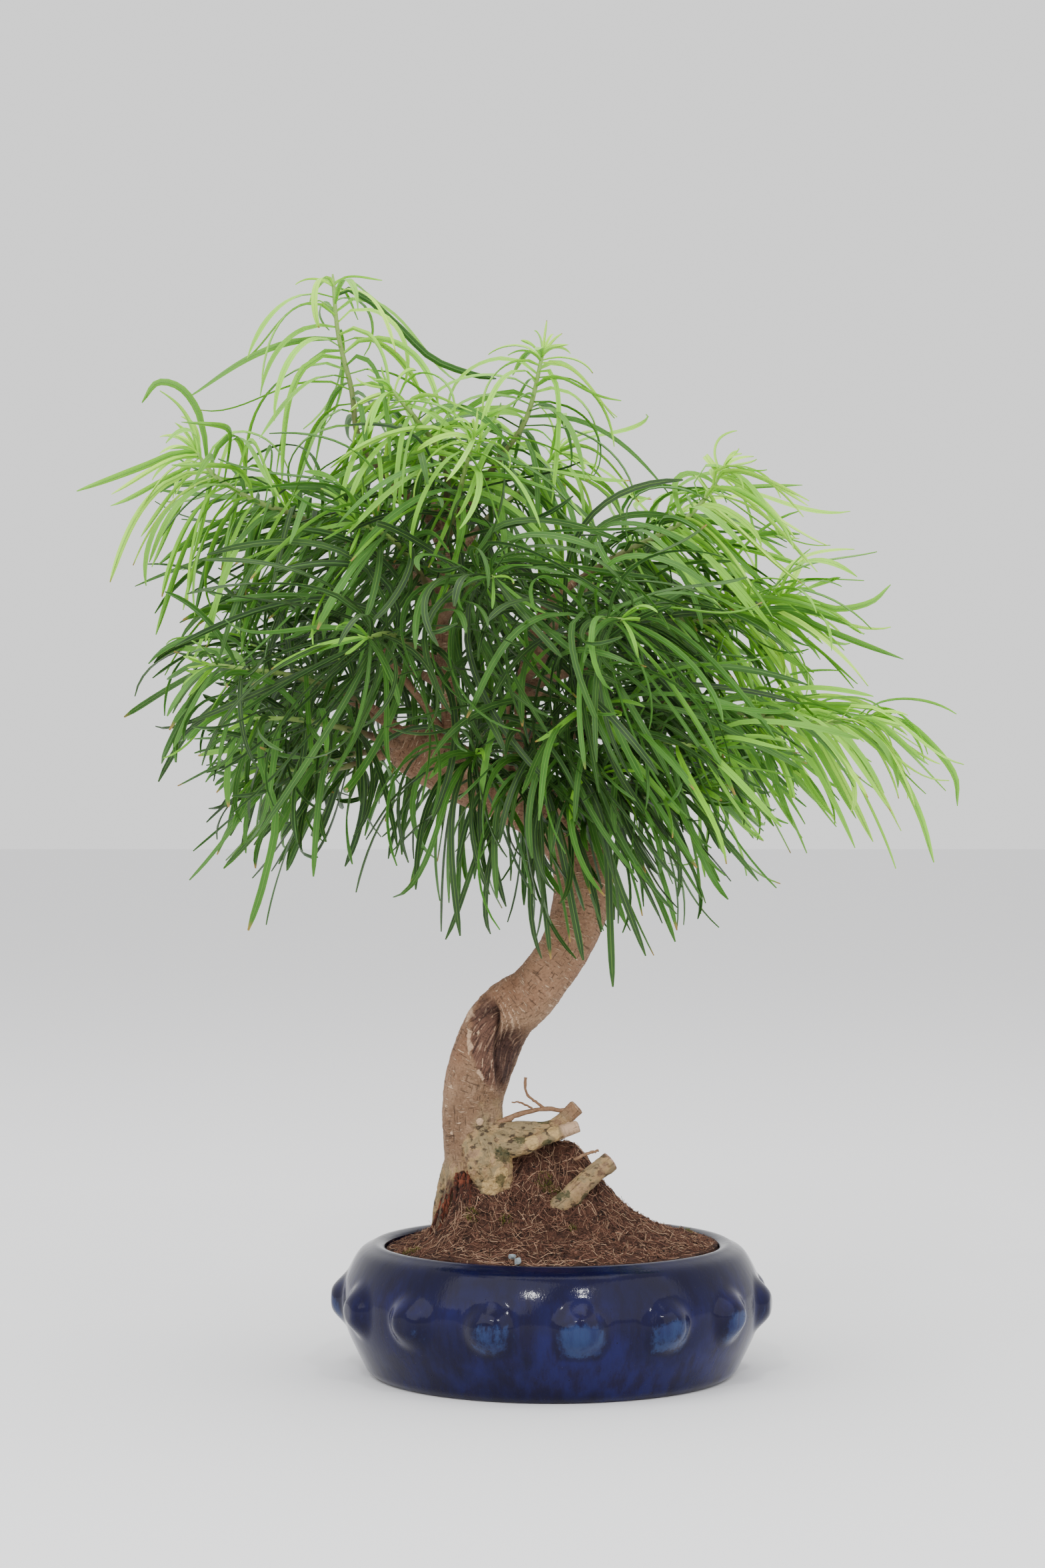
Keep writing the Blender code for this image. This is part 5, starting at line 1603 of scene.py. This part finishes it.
    def head(self, name: str, stem: Stem, shoot: Shoot) -> list[Blade]:
        """The small, bright leaves at the tip of a shoot, the newest of them upright."""
        draw = Random(f"head of {name}")
        green = stem.green()
        light = self.light(shoot)
        fewest, most = self.head_leaves
        count = round(fewest + (most - fewest) * light)
        blades = []
        for number in range(count):
            share = 0.93 + 0.065 * (number + 0.5) / count
            _, way = self.line_at(green, share)
            side = way.cross(UP).normalized()
            outward = Matrix.Rotation(number * self.golden_turn, 3, way) @ side
            age = 1 - number / count
            low, high = self.head_lean
            lean = math.radians(low + (high - low) * age + draw.uniform(-12, 12))
            heading = way * math.cos(lean) + outward * math.sin(lean)
            low, high = self.head_length
            length = shoot.size * (low + (high - low) * age) * draw.uniform(0.7, 1.25)
            hang = shoot.droop * self.head_hang * age * draw.uniform(0.5, 1.4) / self.hang_length
            across = Matrix.Rotation(draw.gauss(0, 0.6), 3, heading) @ way.cross(outward).normalized()
            curl, twist = draw.gauss(0, 1.1), draw.gauss(0, 0.8)
            root, pull = stem.on_green(share), self.pull(shoot)
            frames = self.grown(root, heading, across, length, pull * hang, curl, twist)
            width = self.half_width * (0.42 + 0.33 * age)
            # painted light: lighter on shoots that get more light
            fresh = 0.42 + 0.42 * light + 0.12 * (1 - age) + draw.gauss(0, 0.05)
            blades.append(Blade(frames, share, width, fresh))
        return blades

    def youth_and_painted_light_at(self, root: Vector, share: float, light: float, draw: Random) -> float:
        """How young a leaf looks near its tip, with painted shade deep in, painted light high up, lighter on
        the right.
        """
        # painted shade: darker towards the middle of the crown
        outside = soft_step((root - Vector(self.painted_shade_centre)).length, 60, 185)
        # painted light: lighter high in the crown
        high = soft_step(root.z, 325, 425)
        # lighter towards the right, above about 225 mm
        right = soft_step(root.x, -10, 95) * soft_step(root.z, 225, 285)
        # leaves near the tip look younger, and painted light makes them lighter still on well lit shoots
        young = (0.08 + 0.4 * light) * share**2.5
        return 0.04 + 0.1 * outside + 0.32 * high + 0.4 * right + young + draw.gauss(0, 0.09)

    def blades(self, name: str, stem: Stem, shoot: Shoot) -> list[Blade]:
        """Every leaf of a shoot."""
        green = stem.green()
        length = sum((b - a).length for a, b in zip(green, green[1:]))
        count = int(shoot.leafage * (self.at_tip + self.per_mm * length))
        draw = Random(f"{name} {shoot.seed}")
        look = Random(f"look of {name}")
        light = self.light(shoot)
        made = []
        for number in range(count):
            share = self.share_of(number, count)
            frames = self.drawn(draw, green, shoot, number, count)
            shift = stem.on_green(share) - frames[0][0]
            frames = [(point + shift, way, side) for point, way, side in frames]
            width = self.half_width * look.uniform(0.76, 1.0)
            made.append(Blade(frames, share, width, self.youth_and_painted_light_at(frames[0][0], share, light, look)))
        for stray in STRAYS:
            if stray.shoot == name:
                frames = self.stray(green, stray)
                fresh = self.youth_and_painted_light_at(frames[0][0], 0.5, light, look)
                made.append(Blade(frames, stray.share, self.half_width, fresh))
        return made + self.head(name, stem, shoot)

    def leaf_widths(self, steps: Sequence[int], blunt: Array) -> Array:
        """The half width at these steps, as a share of the greatest, for leaves more or less blunt."""
        along = np.array(steps) / self.steps
        widening = np.minimum(1.0, 0.42 + 2.6 * along)
        pointed = 1 - 0.88 * np.maximum(0.0, (along - 0.62) / 0.38) ** 2
        rounded = 1 - 0.72 * np.maximum(0.0, (along - 0.8) / 0.2) ** 3
        return widening * (pointed + (rounded - pointed) * np.reshape(blunt, (-1, 1)))

    def fitted(self, blade: Blade, low: Array, high: Array) -> Optional[Blade]:
        """Shortens a leaf until it stays in the solid model's box.

        Args:
            blade: The leaf.
            low: The box's lowest corner.
            high: Its highest corner.

        Returns:
            The leaf, or None where it would have to lose more than its last part.
        """
        root = blade.frames[0][0]
        spread = blade.width * self.leaf_widths(np.arange(self.steps + 1), np.ones(1)).T
        sides = np.abs(np.array([side for _, _, side in blade.frames])) * spread + self.thickness / 2
        for share in (1.0, 0.99, 0.98, 0.965, 0.95, 0.93):
            frames = [(root + (point - root) * share, way, side) for point, way, side in blade.frames]
            points = np.array([point for point, _, _ in frames])
            if (points - sides > low).all() and (points + sides < high).all():
                return blade._replace(frames=frames)
        return None

    def leaves(self, strip: Strip, name: str, blades: Sequence[Blade]) -> Mesh:
        """Lays the leaves of one shoot."""
        frames = [[blade.frames[step] for step in self.kept_steps] for blade in blades]
        centres = np.array([[point for point, _, _ in row] for row in frames])
        ways = np.array([[way for _, way, _ in row] for row in frames])
        asides = np.array([[side for _, _, side in row] for row in frames])
        overs = np.cross(ways, asides)
        upward = np.where(overs[:, 3, 2] > 0, 1.0, -1.0)[:, None, None]
        asides, overs = asides * upward, overs * upward
        draw = Random(f"tone of {name}")
        tones = np.array([draw.random() for _ in blades])
        fresh = np.array([blade.fresh for blade in blades])
        blunt = np.clip(1.15 - 1.5 * fresh + 0.7 * (tones - 0.5), 0, 1)
        widths = self.leaf_widths(self.kept_steps, blunt)
        half = widths * np.array([blade.width for blade in blades])[:, None]
        thick = self.thickness * (0.55 + 0.45 * widths)
        data = strip.laid(name, centres, asides, overs, np.stack([half, thick], axis=2))
        carry(data, "fresh", strip.spread(fresh))
        carry(data, "tone", strip.spread(tones))
        carry(data, "under", np.tile((strip.over < -0.4).astype(float), len(blades)))
        return data

    def stem_mesh(self, strip: Strip, name: str, stem: Stem) -> Mesh:
        """Lays the green stem of one shoot."""
        line = stem.fine_green(self.stem_stations)
        foot, tip = self.stem_radii
        along = np.linspace(0, 1, self.stem_stations)
        radii = foot + (tip - foot) * along
        radii[-1] *= 0.5
        data = strip.along(name, line[None], radii[None])
        carry(data, "fresh", strip.spread(along[None]))
        carry(data, "tone", np.zeros(len(data.vertices)))
        carry(data, "under", np.zeros(len(data.vertices)))
        return data

    def build(self) -> None:
        """Builds every shoot as one piece, which replaces its solid."""
        leaf = Strip([(1, 0.2), (0, 0), (-1, 0.2), (0, -1)], len(self.kept_steps))
        tube = Strip(round_section(9), self.stem_stations)
        skins = [self.skin.made(), self.stem_skin.made()]
        low, high = (np.array(corner) / MM for corner in CAD_BOX)
        for name, shoot in SHOOTS.items():
            stem = Stem(shoot)
            fitted = [self.fitted(blade, low, high) for blade in self.blades(name, stem, shoot)]
            blades = [blade for blade in fitted if blade]
            parts = [self.leaves(leaf, name, blades), self.stem_mesh(tube, name, stem)]
            dress(together("leaves_" + name, parts, skins), Slot.LEAF, "shoot_" + name)


class Limb(NamedTuple):
    """A woody tube: its knots of x, y, z and radius, and how it looks."""

    knots: list
    samples: int = 40
    sides: int = 20
    old: float = 0.0  # cracked, ochre and mossy
    ruddy: float = 0.0  # red-brown
    rotten: float = 0.0  # dark and dead
    cut: bool = False  # ends in a clean cut


class Skeleton:
    """Points down the middle of every limb, so that each place on the bark knows where it is on its limb."""

    def __init__(self, limbs: Sequence[Limb]) -> None:
        """Gathers the points of all the limbs.

        Args:
            limbs: The limbs, the trunk first.
        """
        rows, ways, sides, along, owner = [], [], [], [], []
        for number, limb in enumerate(limbs):
            line = smooth_line(limb.knots, limb.samples)
            heads = headings(line[:, :3])
            rows.append(line)
            ways += heads
            sides += carried_sides(heads, FIRST_SIDE)
            steps = np.linalg.norm(np.diff(line[:, :3], axis=0), axis=1)
            along.append(np.concatenate([[0.0], np.cumsum(steps)]))
            owner.append(np.full(len(line), number))
        self.rows = np.vstack(rows)
        self.ways = np.array(ways)
        self.sides = np.array(sides)
        self.along = np.concatenate(along)
        self.left = np.concatenate([lengths[-1] - lengths for lengths in along])
        self.owner = np.concatenate(owner)

    def nearest(self, points: Array, slice_size: int = 4000) -> Array:
        """The skeleton point whose limb's surface each point is nearest to."""
        found = []
        for start in range(0, len(points), slice_size):
            part = points[start : start + slice_size]
            apart = np.linalg.norm(part[:, None] - self.rows[None, :, :3], axis=2) - self.rows[None, :, 3]
            found.append(apart.argmin(axis=1))
        return np.concatenate(found)


@dataclass
class Tree:
    """Trunk, roots, leaders and the woody foot of every shoot: one skin over one skeleton."""

    voxel: float = 0.9
    scar_centre: Point = (-21.0, -16.0, 150.0)
    scar_axis: Point = (-0.42, 0.0, 0.91)
    scar_depth: float = 6.5
    scar_half_length: float = 26.0
    scar_half_width: float = 7.5
    groove: tuple = ((171, -29.5), (163, -26.2), (155, -24.6), (146, -24.4), (137, -23.2), (124, -21.6))
    edge: tuple = ((171, -30.5), (161, -37.0), (150, -37.6), (141, -35.0), (130, -29.5), (122, -23.0))
    old_top: float = 119.0
    old_slope: float = 22.0
    moss_spots: tuple = (
        (-24, -15, 98, 7.5), (-36, -14, 80, 7.0), (-14, -15, 104, 4.5), (-22, -20, 88, 4.0),
        (-4, -8, 115, 5.0), (-2, -17, 103, 4.0),
    )
    crust_spots: tuple = (
        (-27, -17, 86, 6.5), (-22, -20, 90, 5.5), (-17.5, -13, 96.5, 5.0), (-9, -16, 104.5, 4.5),
        (1, -13, 108, 5.0),
    )
    buttons: tuple = ((-32.2, -13.5, 113.4, 2.4), (-12.5, -10.5, 110.5, 1.6), (-44.0, -9.0, 108.0, 1.4))
    stub_tips: Pair = (13.0, 3.5)
    foot_radii: Pair = (3.0, 1.9)
    bark: Bark = Bark()

    def limbs(self) -> list[Limb]:
        """Every limb, the trunk first."""
        trunk = Limb(TRUNK_LINE, 170, 48)
        roots = [
            Limb(ROOTS[name], 40, 20, old=1.0, rotten=0.8 * (name == "bark_root"), cut=name.endswith("stub"))
            for name in THICK_ROOTS
        ]
        leaders = [Limb(knots, 60, 20, ruddy=1.0) for knots in LEADERS.values()]
        feet = []
        for shoot in SHOOTS.values():
            line = Stem(shoot).woody(12)
            radii = np.linspace(*self.foot_radii, 12)[:, None]
            feet.append(Limb(np.hstack([line, radii]).tolist(), 12, 10, ruddy=0.6))
        return [trunk, *roots, *leaders, *feet]

    def scar(self, point: Vector) -> float:
        """How deep the broad old wound is cut, as in the solid model."""
        axis = Vector(self.scar_axis).normalized()
        off = point - Vector(self.scar_centre)
        along = off.dot(axis) / self.scar_half_length
        aside = (off - axis * off.dot(axis)).length / self.scar_half_width
        return self.scar_depth * max(0.0, 1 - along**2) * math.exp(-(aside**2))

    def line_x(self, line: Sequence[Pair], height: float) -> float:
        """Where a line on the trunk's front stands at a height."""
        heights = [row[0] for row in reversed(line)]
        return float(np.interp(height, heights, [row[1] for row in reversed(line)]))

    def wound(self, point: Vector) -> tuple[float, float, float, float]:
        """What the old wound does at a point of the trunk.

        Args:
            point: The point, in millimetres.

        Returns:
            How far in the surface moves, and how much bare wood, pale callus and painted shade it shows.
        """
        top, foot = self.groove[0][0], self.groove[-1][0]
        ends = soft_step(point.z, foot - 2, foot + 9) * soft_step(point.z, top + 2, top - 7)
        front = soft_step(point.y, 0, -6) * ends
        if front <= 0:
            return 0.0, 0.0, 0.0, 0.0
        groove = self.line_x(self.groove, point.z)
        torn = roughness_at((point.x * 0.6, point.y * 0.6, point.z * 0.35), 2.2, 4)
        edge = self.line_x(self.edge, point.z) + torn * 1.6
        off = point.x - groove
        cleft = math.exp(-((off / 1.4) ** 2))
        shelf = soft_step(off, 0.3, -0.6) * soft_step(point.x, edge - 0.3, edge + 0.7)
        right_side = soft_step(off, -0.5, 1.0) * soft_step(off, 19, 9) * soft_step(point.z, 158, 147)
        broken = soft_step(roughness_at((point.x, 5.0, point.z * 0.5), 4.0, 3), -0.25, 0.15)
        lip = math.exp(-(((point.x - edge) / 1.3) ** 2)) * broken
        folds = soft_step(off, 0.5, 2.0) * soft_step(off, 16, 8) * soft_step(point.z, 140, 150)
        ripple = (0.5 + 0.5 * math.sin(off * 2.3 + (point.z - 150) * 0.42 + torn * 1.5)) ** 2
        strands = roughness_at((point.x, point.y, point.z * 0.12), 1.5, 3)
        depth = 2.6 * cleft + shelf * (1.0 + strands * 0.7) + 1.4 * right_side
        depth -= 0.5 * lip + 0.7 * folds * ripple
        bare = max(shelf, right_side)
        callus = max(lip * 0.85, folds * ripple * 0.75, shelf * soft_step(strands, 0.25, 0.5) * 0.6)
        # painted shade under the top of the wound
        painted_shade_top = soft_step(point.z, 156, 166) * soft_step(off, 3, -1) * 0.7
        # painted shade in the cleft, on the receding right side and under the top
        hollow = max(cleft, right_side * 0.8, painted_shade_top * shelf)
        return depth * front, bare * front, callus * front, hollow * front

    def nearness(self, point: Vector, spots: Sequence[tuple]) -> float:
        """1 in the middle of any of the spots, which are x, y, z and size, and 0 outside them all."""
        return max(soft_step((point - Vector(spot[:3])).length, spot[3], spot[3] * 0.5) for spot in spots)

    def grain(self, point: Vector, place: Vector, old: float, radius: float) -> float:
        """The bark's own relief at a point, in millimetres outwards.

        Args:
            point: The point itself.
            place: The same point in the straightened limb: aside, forward and along.
            old: How cracked and old the bark is there.
            radius: The limb's radius.

        Returns:
            How far the surface stands out.
        """
        size = min(1.0, radius / 9)
        lumps = roughness_at(point, 13.0, 3) * 0.45 * size
        stretched = Vector((place.x * 0.3, place.y * 0.3, place.z))
        rings = roughness_at(stretched, 1.7, 2) * 0.2 * size
        cracks = -abs(roughness_at(Vector((point.x, point.y, point.z * 0.6)), 5.0, 4)) * 1.5
        crust = roughness_at(point, 2.4, 3) * 0.35
        smooth = lumps + rings + roughness_at(point, 3.0, 3) * 0.1 * size
        return smooth * (1 - old) + (lumps * 1.6 + cracks + crust + 0.35) * old * size

    def skin(self, limbs: Sequence[Limb]) -> Object:
        """One closed skin round all the limbs."""
        mesh = bmesh.new()
        for limb in limbs:
            line = smooth_line(limb.knots, limb.samples)
            add_tube(mesh, line[:, :3], line[:, 3], limb.sides)
        skin = piece_from(mesh, "bonsai_wood", self.bark.made())
        remesh = skin.modifiers.new("one skin", "REMESH")
        remesh.mode = "VOXEL"
        remesh.voxel_size = self.voxel * MM
        relax = skin.modifiers.new("even out", "SMOOTH")
        relax.factor = 0.5
        relax.iterations = 2
        evaluated(skin)
        return skin

    def build(self) -> Object:
        """Skins the limbs, carves the wound and the grain, and marks the bark."""
        limbs = self.limbs()
        bones = Skeleton(limbs)
        tree = self.skin(limbs)
        places = points_of(tree.data)
        found = bones.nearest(places)
        centres, ways, sides = bones.rows[found, :3], bones.ways[found], bones.sides[found]
        off = places - centres
        fore = np.cross(ways, sides)
        slide = (off * ways).sum(axis=1)
        aside, forward = (off * sides).sum(axis=1), (off * fore).sum(axis=1)
        straight = np.stack([aside, forward, bones.along[found] + slide], axis=1)
        outward = off - ways * slide[:, None]
        outward /= np.maximum(np.linalg.norm(outward, axis=1), 0.01)[:, None]
        normals = np.array([normal.vector for normal in tree.data.vertex_normals])
        names = ("old", "ruddy", "mossy", "crust", "wound", "callus", "hollow", "cut")
        marks = {name: np.zeros(len(places)) for name in names}
        moved = places.copy()
        for i, (place, number) in enumerate(zip(places, found)):
            point = Vector(place)
            owner = int(bones.owner[number])
            limb = limbs[owner]
            ragged = roughness_at(point, 11.0, 3) * 9
            old_top = self.old_top - self.old_slope * soft_step(point.x, -30, -42)
            old = limb.old if owner else soft_step(point.z + ragged, old_top + 4, old_top - 8)
            marks["old"][i] = old
            risen = bones.along[number] - off[i, 0] * 3
            marks["ruddy"][i] = limb.ruddy if owner else soft_step(risen, 95, 135)
            marks["mossy"][i] = self.nearness(point, self.moss_spots)
            marks["crust"][i] = self.nearness(point, self.crust_spots) * (limb.old or not owner)
            end_face = soft_step(abs(float(normals[i] @ ways[i])), 0.6, 0.85)
            left = bones.left[number] - slide[i]
            if limb.rotten:
                marks["hollow"][i] = limb.rotten * soft_step(point.z + ragged * 0.5, 92, 84)
            if (limb.cut or not owner) and left < self.stub_tips[1]:
                marks["cut"][i] = end_face
            if limb.cut:
                bleached = soft_step(left, *self.stub_tips)
                marks["ruddy" if limb.knots == ROOTS["upper_stub"] else "callus"][i] = bleached
                marks["old"][i] = old = old * (1 - bleached * 0.8)
            depth = 0.0
            if not owner:
                sunk, bare, callus, hollow = self.wound(point)
                scar = self.scar(point)
                depth = scar + sunk
                marks["wound"][i], marks["callus"][i] = bare, callus
                # painted shade where the broad scar is cut deepest
                marks["hollow"][i] = max(hollow, soft_step(scar, 3.5, 6.5) * 0.4)
            button = 0 if owner else self.nearness(point, self.buttons)
            marks["callus"][i] = max(marks["callus"][i], button)
            swell = self.grain(point, Vector(straight[i]), old, bones.rows[number, 3]) * (1 - end_face * 0.7)
            swell += button * 0.9 - marks["cut"][i] * abs(roughness_at(point, 1.6, 3)) * 0.8
            if marks["wound"][i] > 0:
                swell += marks["wound"][i] * roughness_at((point.x, point.y, point.z * 0.18), 1.3, 2) * 0.5
            moved[i] += outward[i] * -depth + normals[i] * swell
        move_points(tree.data, moved)
        for name, values in marks.items():
            carry(tree.data, name, values)
        carry(tree.data, "limb", straight)
        return dress(tree, Slot.BARK, "tree")


@dataclass
class CrossingRoot:
    """The cut root that stands in the heap by itself."""

    bark: Bark = Bark()
    rings: int = 56
    sides: int = 32

    def build(self) -> Object:
        """Sweeps the root, roughens it and marks its bark."""
        line = smooth_line(CROSSING_ROOT, self.rings)
        mesh = bmesh.new()
        add_tube(mesh, line[:, :3], line[:, 3], self.sides)
        root = piece_from(mesh, "crossing_root_bark", self.bark.made())
        bones = Skeleton([Limb(CROSSING_ROOT, self.rings)])
        places = points_of(root.data)
        found = bones.nearest(places)
        normals = np.array([normal.vector for normal in root.data.vertex_normals])
        off = places - bones.rows[found, :3]
        fore = np.cross(bones.ways[found], bones.sides[found])
        straight = np.stack(
            [(off * bones.sides[found]).sum(axis=1), (off * fore).sum(axis=1), bones.along[found]], axis=1
        )
        swell = [roughness_at(p, 3.4, 4) * 0.35 - abs(roughness_at(p, 6.0, 3)) * 0.6 + 0.1 for p in places]
        ends = np.abs((normals * bones.ways[found]).sum(axis=1))
        move_points(root.data, places + normals * np.array(swell)[:, None] * (1 - ends)[:, None])
        tip = bones.left[found] < 2.5
        carry(root.data, "old", np.full(len(places), 0.85))
        carry(root.data, "cut", tip * np.array([soft_step(end, 0.3, 0.6) for end in ends]))
        carry(root.data, "mossy", [soft_step(roughness_at(p, 7.0), 0.1, 0.5) for p in places])
        carry(root.data, "limb", straight)
        return dress(root, Slot.BARK, "crossing_root")


@dataclass
class DeadTwigs:
    """Thin dead wood: too fine for the tree's skin. Each twig is x, y, z, radius."""

    twigs: tuple = (
        ((-24, -7, 112, 1.5), (-14, -8, 116.5, 1.15), (-3, -8, 118.6, 1.0), (7, -6.5, 117.5, 1.0)),
        ((-2, -8, 117.8, 0.7), (-7, -8.5, 121.6, 0.65), (-11.4, -9, 126, 0.6), (-12, -9, 133, 0.7)),
        ((-9, -9, 119, 0.5), (-14, -10, 121.5, 0.45), (-18, -10.5, 121.8, 0.35)),
        ((-48, 0, 286, 1.9), (-57, -4, 299, 1.7), (-70, -8, 316, 1.5), (-75, -9, 325, 1.3)),
        ((-20, 2, 262, 1.6), (-21, -4, 286, 1.3), (-19, -7, 300, 1.1), (-14, -8, 309, 0.9)),
        ((-60, 2, 281, 1.7), (-78, 2, 293, 1.5), (-97, 0, 306, 1.6)),
        ((10, -10, 96, 0.8), (16, -11, 99, 0.7), (21, -12, 100.5, 0.6)),
        ((12, -9, 92, 0.7), (16, -10, 90, 0.6), (18, -10, 86, 0.5)),
    )
    stations: int = 18
    bark: Bark = Bark()

    def build(self) -> Object:
        """Lays all the twigs as one piece."""
        strip = Strip(round_section(8), self.stations)
        rows = np.array([smooth_line(twig, self.stations) for twig in self.twigs])
        draw = np.random.default_rng(5)
        lines = rows[..., :3] + draw.normal(0, 0.12, rows[..., :3].shape)
        radii = rows[..., 3] * draw.uniform(0.86, 1.14, rows.shape[:2])
        data = strip.along("dead_twigs", lines, radii)
        carry(data, "ruddy", np.full(len(data.vertices), 1.0))
        carry(data, "old", np.full(len(data.vertices), 0.12))
        return dress(together("dead_twigs", [data], [self.bark.made()]), Slot.BARK)


@dataclass
class Lamp:
    """A soft light: where it stands, what it looks at, its size in metres and its power in watts."""

    name: str
    place: Point
    size: Pair
    power: float
    target: Point = (0.0, 0.0, 0.25)

    def build(self) -> None:
        """Adds the light."""
        data = bpy.data.lights.new(self.name, "AREA")
        data.shape = "RECTANGLE"
        data.size, data.size_y = self.size
        data.energy = self.power
        lamp = bpy.data.objects.new(self.name, data)
        lamp.location = self.place
        lamp.rotation_euler = (Vector(self.target) - lamp.location).to_track_quat("-Z", "Y").to_euler()
        bpy.context.scene.collection.objects.link(lamp)


@dataclass
class Studio:
    """A pale floor, soft light and the camera at the photograph's angle."""

    camera_place: Point = (-0.0132, -1.5, 0.264)
    sensor: float = 36.0
    lens: float = 5000 / 2352 * 36
    floor_half: float = 12.0
    sky: Colour = (1.0, 1.0, 1.0)
    sky_strength: float = 1.25
    lamps: tuple[Lamp, ...] = (
        Lamp("key", (-1.2, -1.5, 1.7), (2.4, 2.4), 34),
        Lamp("fill", (1.6, -1.2, 1.2), (2.2, 2.2), 18),
        Lamp("top", (0.0, 0.2, 1.9), (1.6, 1.6), 16),
        Lamp("glint_left", (-0.35, -1.5, 1.45), (0.08, 0.08), 6),
        Lamp("glint_right", (0.5, -1.35, 1.5), (0.07, 0.07), 5),
    )
    paper: Paper = Paper()

    def build(self) -> None:
        """Sets up floor, sky, lights and camera."""
        mesh = bmesh.new()
        bmesh.ops.create_grid(mesh, x_segments=8, y_segments=8, size=self.floor_half / MM)
        floor = piece_from(mesh, "studio_floor", self.paper.made())
        world = bpy.data.worlds.new("studio sky")
        world.use_nodes = True
        shade = world.node_tree.nodes["Background"]
        shade.inputs["Color"].default_value = (*self.sky, 1)
        shade.inputs["Strength"].default_value = self.sky_strength
        bpy.context.scene.world = world
        for lamp in self.lamps:
            lamp.build()
        data = bpy.data.cameras.new("camera")
        data.sensor_fit = "VERTICAL"
        data.sensor_height = self.sensor
        data.lens = self.lens
        data.clip_end = 100
        camera = bpy.data.objects.new("camera", data)
        camera.location = self.camera_place
        camera.rotation_euler = (math.pi / 2, 0, 0)
        bpy.context.scene.collection.objects.link(camera)
        bpy.context.scene.camera = camera


def main() -> None:
    """Builds everything in order."""
    soil = Soil()
    Pot().build()
    Drainage().build()
    soil.build()
    Litter(soil).build()
    MossTufts(soil).build()
    Tree().build()
    CrossingRoot().build()
    DeadTwigs().build()
    BarkStrips().build()
    Foliage().build()
    Grit().build()
    Studio().build()


if __name__ == "__main__":
    logging.basicConfig(level=logging.INFO, format="%(message)s")
    main()
